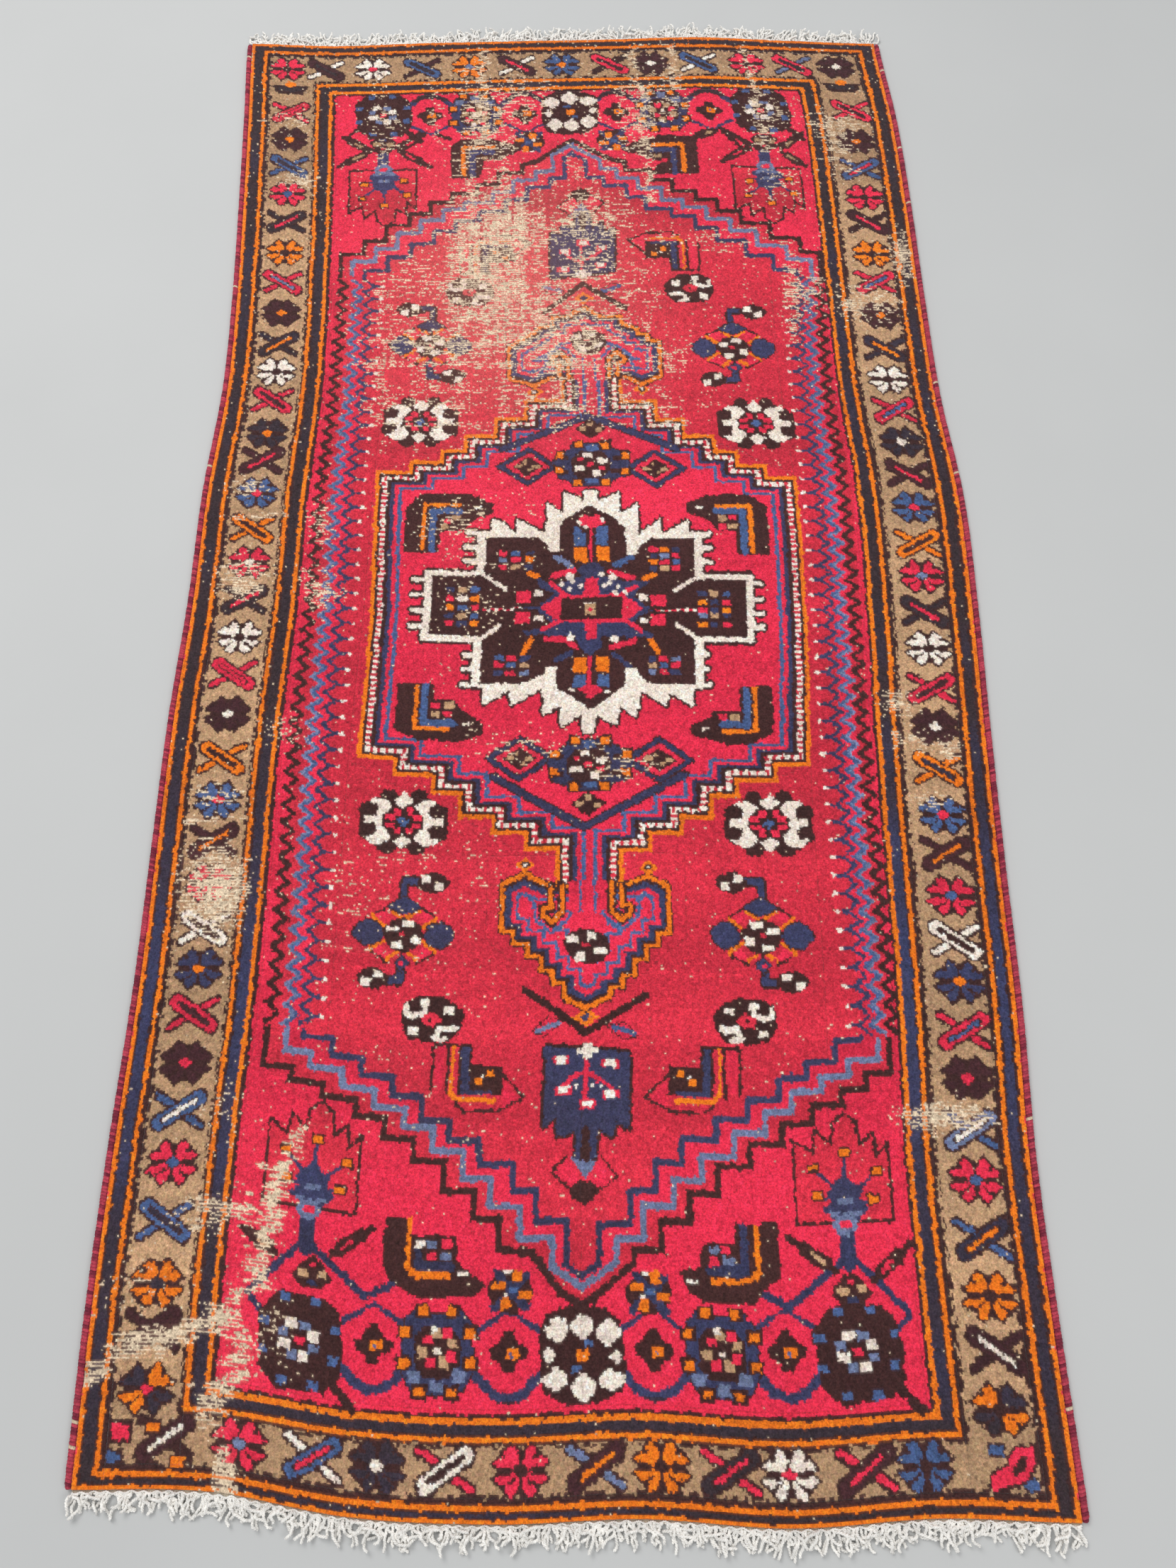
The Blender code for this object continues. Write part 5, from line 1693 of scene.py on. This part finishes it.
def pile_areas():
    """Each pile area's name, material slot and knots. What the figures leave is inner field."""
    areas = {}
    for ring, name in enumerate(("outer_guard_", "main_border_", "inner_guard_")):
        slot = "border_wool" if ring == 1 else "guard_wool"
        left, right = LEFT_STRIPS[ring : ring + 2], RIGHT_STRIPS[2 - ring : 4 - ring]
        far, close = FAR_STRIPS[ring : ring + 2], NEAR_STRIPS[2 - ring : 4 - ring]
        areas[name + "left"] = slot, strip(*left, far[0], close[1])
        areas[name + "right"] = slot, strip(*right, far[0], close[1])
        areas[name + "far"] = slot, strip(left[1], right[0], *far)
        areas[name + "near"] = slot, strip(left[1], right[0], *close)

    left, right, top, bottom = LEFT_STRIPS[3], RIGHT_STRIPS[0], FAR_STRIPS[3], NEAR_STRIPS[0]
    for end, edge, tip, corner in (("far", top, FAR_TIP, FAR_CORNER_ROW),
                                   ("near", bottom, NEAR_TIP, NEAR_CORNER_ROW)):
        for side, border in (("left", left), ("right", right)):
            outline = (border, edge), (MIDDLE, edge), tip, (border, corner)
            areas[f"corner_field_{end}_{side}"] = "corner_field_wool", inside(*outline)
    band_rows = FAR_CORNER_ROW, NEAR_CORNER_ROW
    areas["zigzag_band_left"] = "figure_wool", strip(left, LEFT_BAND, *band_rows)
    areas["zigzag_band_right"] = "figure_wool", strip(RIGHT_BAND, right, *band_rows)

    far_row, near_row = MEDALLION_SIDES
    up_left = [(LEFT_BAND, far_row)] + [(LEFT_BAND + x, far_row - y) for x, y in SHOULDER]
    up_right = [(RIGHT_BAND, far_row)] + [(RIGHT_BAND - x, far_row - y) for x, y in SHOULDER]
    down_left = [(LEFT_BAND, near_row)] + [(LEFT_BAND + x, near_row + y) for x, y in SHOULDER[:-1]]
    down_right = [(RIGHT_BAND, near_row)]
    down_right += [(RIGHT_BAND - x, near_row + y) for x, y in SHOULDER[:-1]]
    neck_left, neck_right = up_left[-1][0], up_right[-1][0]
    far_neck, (near_neck, widest, tip_row) = FAR_PENDANT_ROWS[1], NEAR_PENDANT_ROWS
    outline = up_left + [(neck_left, far_neck), (neck_right, far_neck)] + up_right[::-1]
    outline += down_right + [(neck_right, near_neck), (neck_left, near_neck)] + down_left[::-1]
    areas["medallion"] = "medallion_wool", inside(*outline)
    start, end = MIDDLE - PENDANT_HALF_WIDTH, MIDDLE + PENDANT_HALF_WIDTH
    areas["pendant_far"] = "figure_wool", strip(start, end, *FAR_PENDANT_ROWS)
    shield = (start, near_neck), (end, near_neck), (end, widest), (MIDDLE, tip_row), (start, widest)
    areas["pendant_near"] = "figure_wool", inside(*shield)

    taken = sum(knots.astype(int) for _, knots in areas.values()) > 0
    middle_row = (far_row + near_row) // 2
    for end, rows in (("far", (0, middle_row)), ("near", (middle_row, ROWS))):
        for side, columns in (("left", (0, MIDDLE)), ("right", (MIDDLE, COLUMNS))):
            knots = strip(*columns, *rows) & ~taken
            areas[f"inner_field_{end}_{side}"] = "inner_field_wool", knots
    return areas


def make_pile(colours, worn, bare):
    """One piece for each pile area, in the wool of its slot."""
    surface = pile_surface(worn, bare)
    corners = corner_colours(colours[:, PILE])
    wools = {
        "guard_wool": wool("guard_wool", 0.25),
        "border_wool": wool("border_wool", 0.30),
        "corner_field_wool": wool("corner_field_wool", 0.40, tint=(1.0, 0.55, 0.6)),
        "inner_field_wool": wool("inner_field_wool", 0.45, tint=(1.0, 0.65, 0.65)),
        "figure_wool": wool("figure_wool", 0.35, tint=(1.0, 0.75, 0.8)),
        "medallion_wool": wool("medallion_wool", 0.40, tint=(1.0, 0.55, 0.6)),
    }
    pieces = []
    for name, (slot, knots) in pile_areas().items():
        mesh = solid_piece(name, knots, surface, corners, FINE, FOUNDATION_TOP + 0.0003)
        pieces.append(add_piece(name, mesh, wools[slot], slot, name))
    return pieces


# ----------------------------------------------------------------------- light and camera


def make_floor():
    mesh = bpy.data.meshes.new("floor")
    mesh.from_pydata([(-6, -6, 0), (6, -6, 0), (6, 6, 0), (-6, 6, 0)], [], [(0, 1, 2, 3)])
    floor = bpy.data.objects.new("floor", mesh)
    bpy.context.scene.collection.objects.link(floor)
    floor.location.z = -0.0004
    shading = Shading("floor_plaster", 0.85)
    tone = shading.node("RGB")
    tone.outputs[0].default_value = (0.56, 0.56, 0.55, 1)
    factor = shading.spread(shading.noise(3, 4.0), 0.3, 0.7, 0.985, 1.015)
    shading.join(shading.scaled(tone.outputs[0], factor), "Base Color")
    mesh.materials.append(shading.material)


def make_light(name, place, target, size, power):
    data = bpy.data.lights.new(name, "AREA")
    data.shape, data.size, data.energy = "DISK", size, power
    light = bpy.data.objects.new(name, data)
    light.location = place
    light.rotation_euler = (Vector(target) - Vector(place)).to_track_quat("-Z", "Y").to_euler()
    bpy.context.scene.collection.objects.link(light)


def make_world(strength):
    world = bpy.data.worlds.new("studio")
    world.use_nodes = True
    background = world.node_tree.nodes["Background"]
    background.inputs["Color"].default_value = (0.94, 0.97, 1.0, 1)
    background.inputs["Strength"].default_value = strength
    bpy.context.scene.world = world


def make_camera():
    """The photographer stood at the near end, holding the camera over the rug."""
    data = bpy.data.cameras.new("camera")
    data.lens, data.sensor_width = 27.02, 36
    camera = bpy.data.objects.new("camera", data)
    camera.location = (0.0525 + SHIFT_X, -0.767 + SHIFT_Y, 1.38 + PILE_TOP)
    camera.rotation_euler = (math.radians(20.36), math.radians(1.51), math.radians(-0.59))
    bpy.context.scene.collection.objects.link(camera)
    bpy.context.scene.camera = camera


# ------------------------------------------------------------------------------ the whole


def build():
    bpy.context.scene.view_settings.view_transform = "Standard"
    draw_design()
    design = design_facets()
    worn = facets(wear_map(design[::FINE, ::FINE]))
    bare = bare_facets(worn)
    colours = facet_colours(design, worn, bare)
    pile = make_pile(colours, worn, bare)

    weave = cotton("foundation_cotton", (0.62, 0.52, 0.39), 0.0018)
    warp_ends = cotton("fringe_cotton", (0.93, 0.90, 0.85), None)
    foundation = make_foundation(weave)
    others = make_backs(colours, wool("knot_backs", 0.1, 0.2))
    cord_wool = wool("side_cord_wool", 0.15, tint=(1.0, 0.7, 0.75))
    for name, side in (("side_cord_left", -1), ("side_cord_right", 1)):
        others.append(make_side_cord(name, side, cord_wool))
    others.append(make_fringe("fringe_near", ROWS, NEAR_FRINGE, 430, warp_ends))
    others.append(make_fringe("fringe_far", 0, FAR_FRINGE, 420, warp_ends))

    make_floor()
    make_world(0.55)
    make_light("key", (-1.6, 1.4, 3.6), (0, 0, 0), 2.6, 90)
    make_light("fill", (2.2, -1.8, 3.0), (0, -0.2, 0), 2.4, 35)
    make_camera()


build()
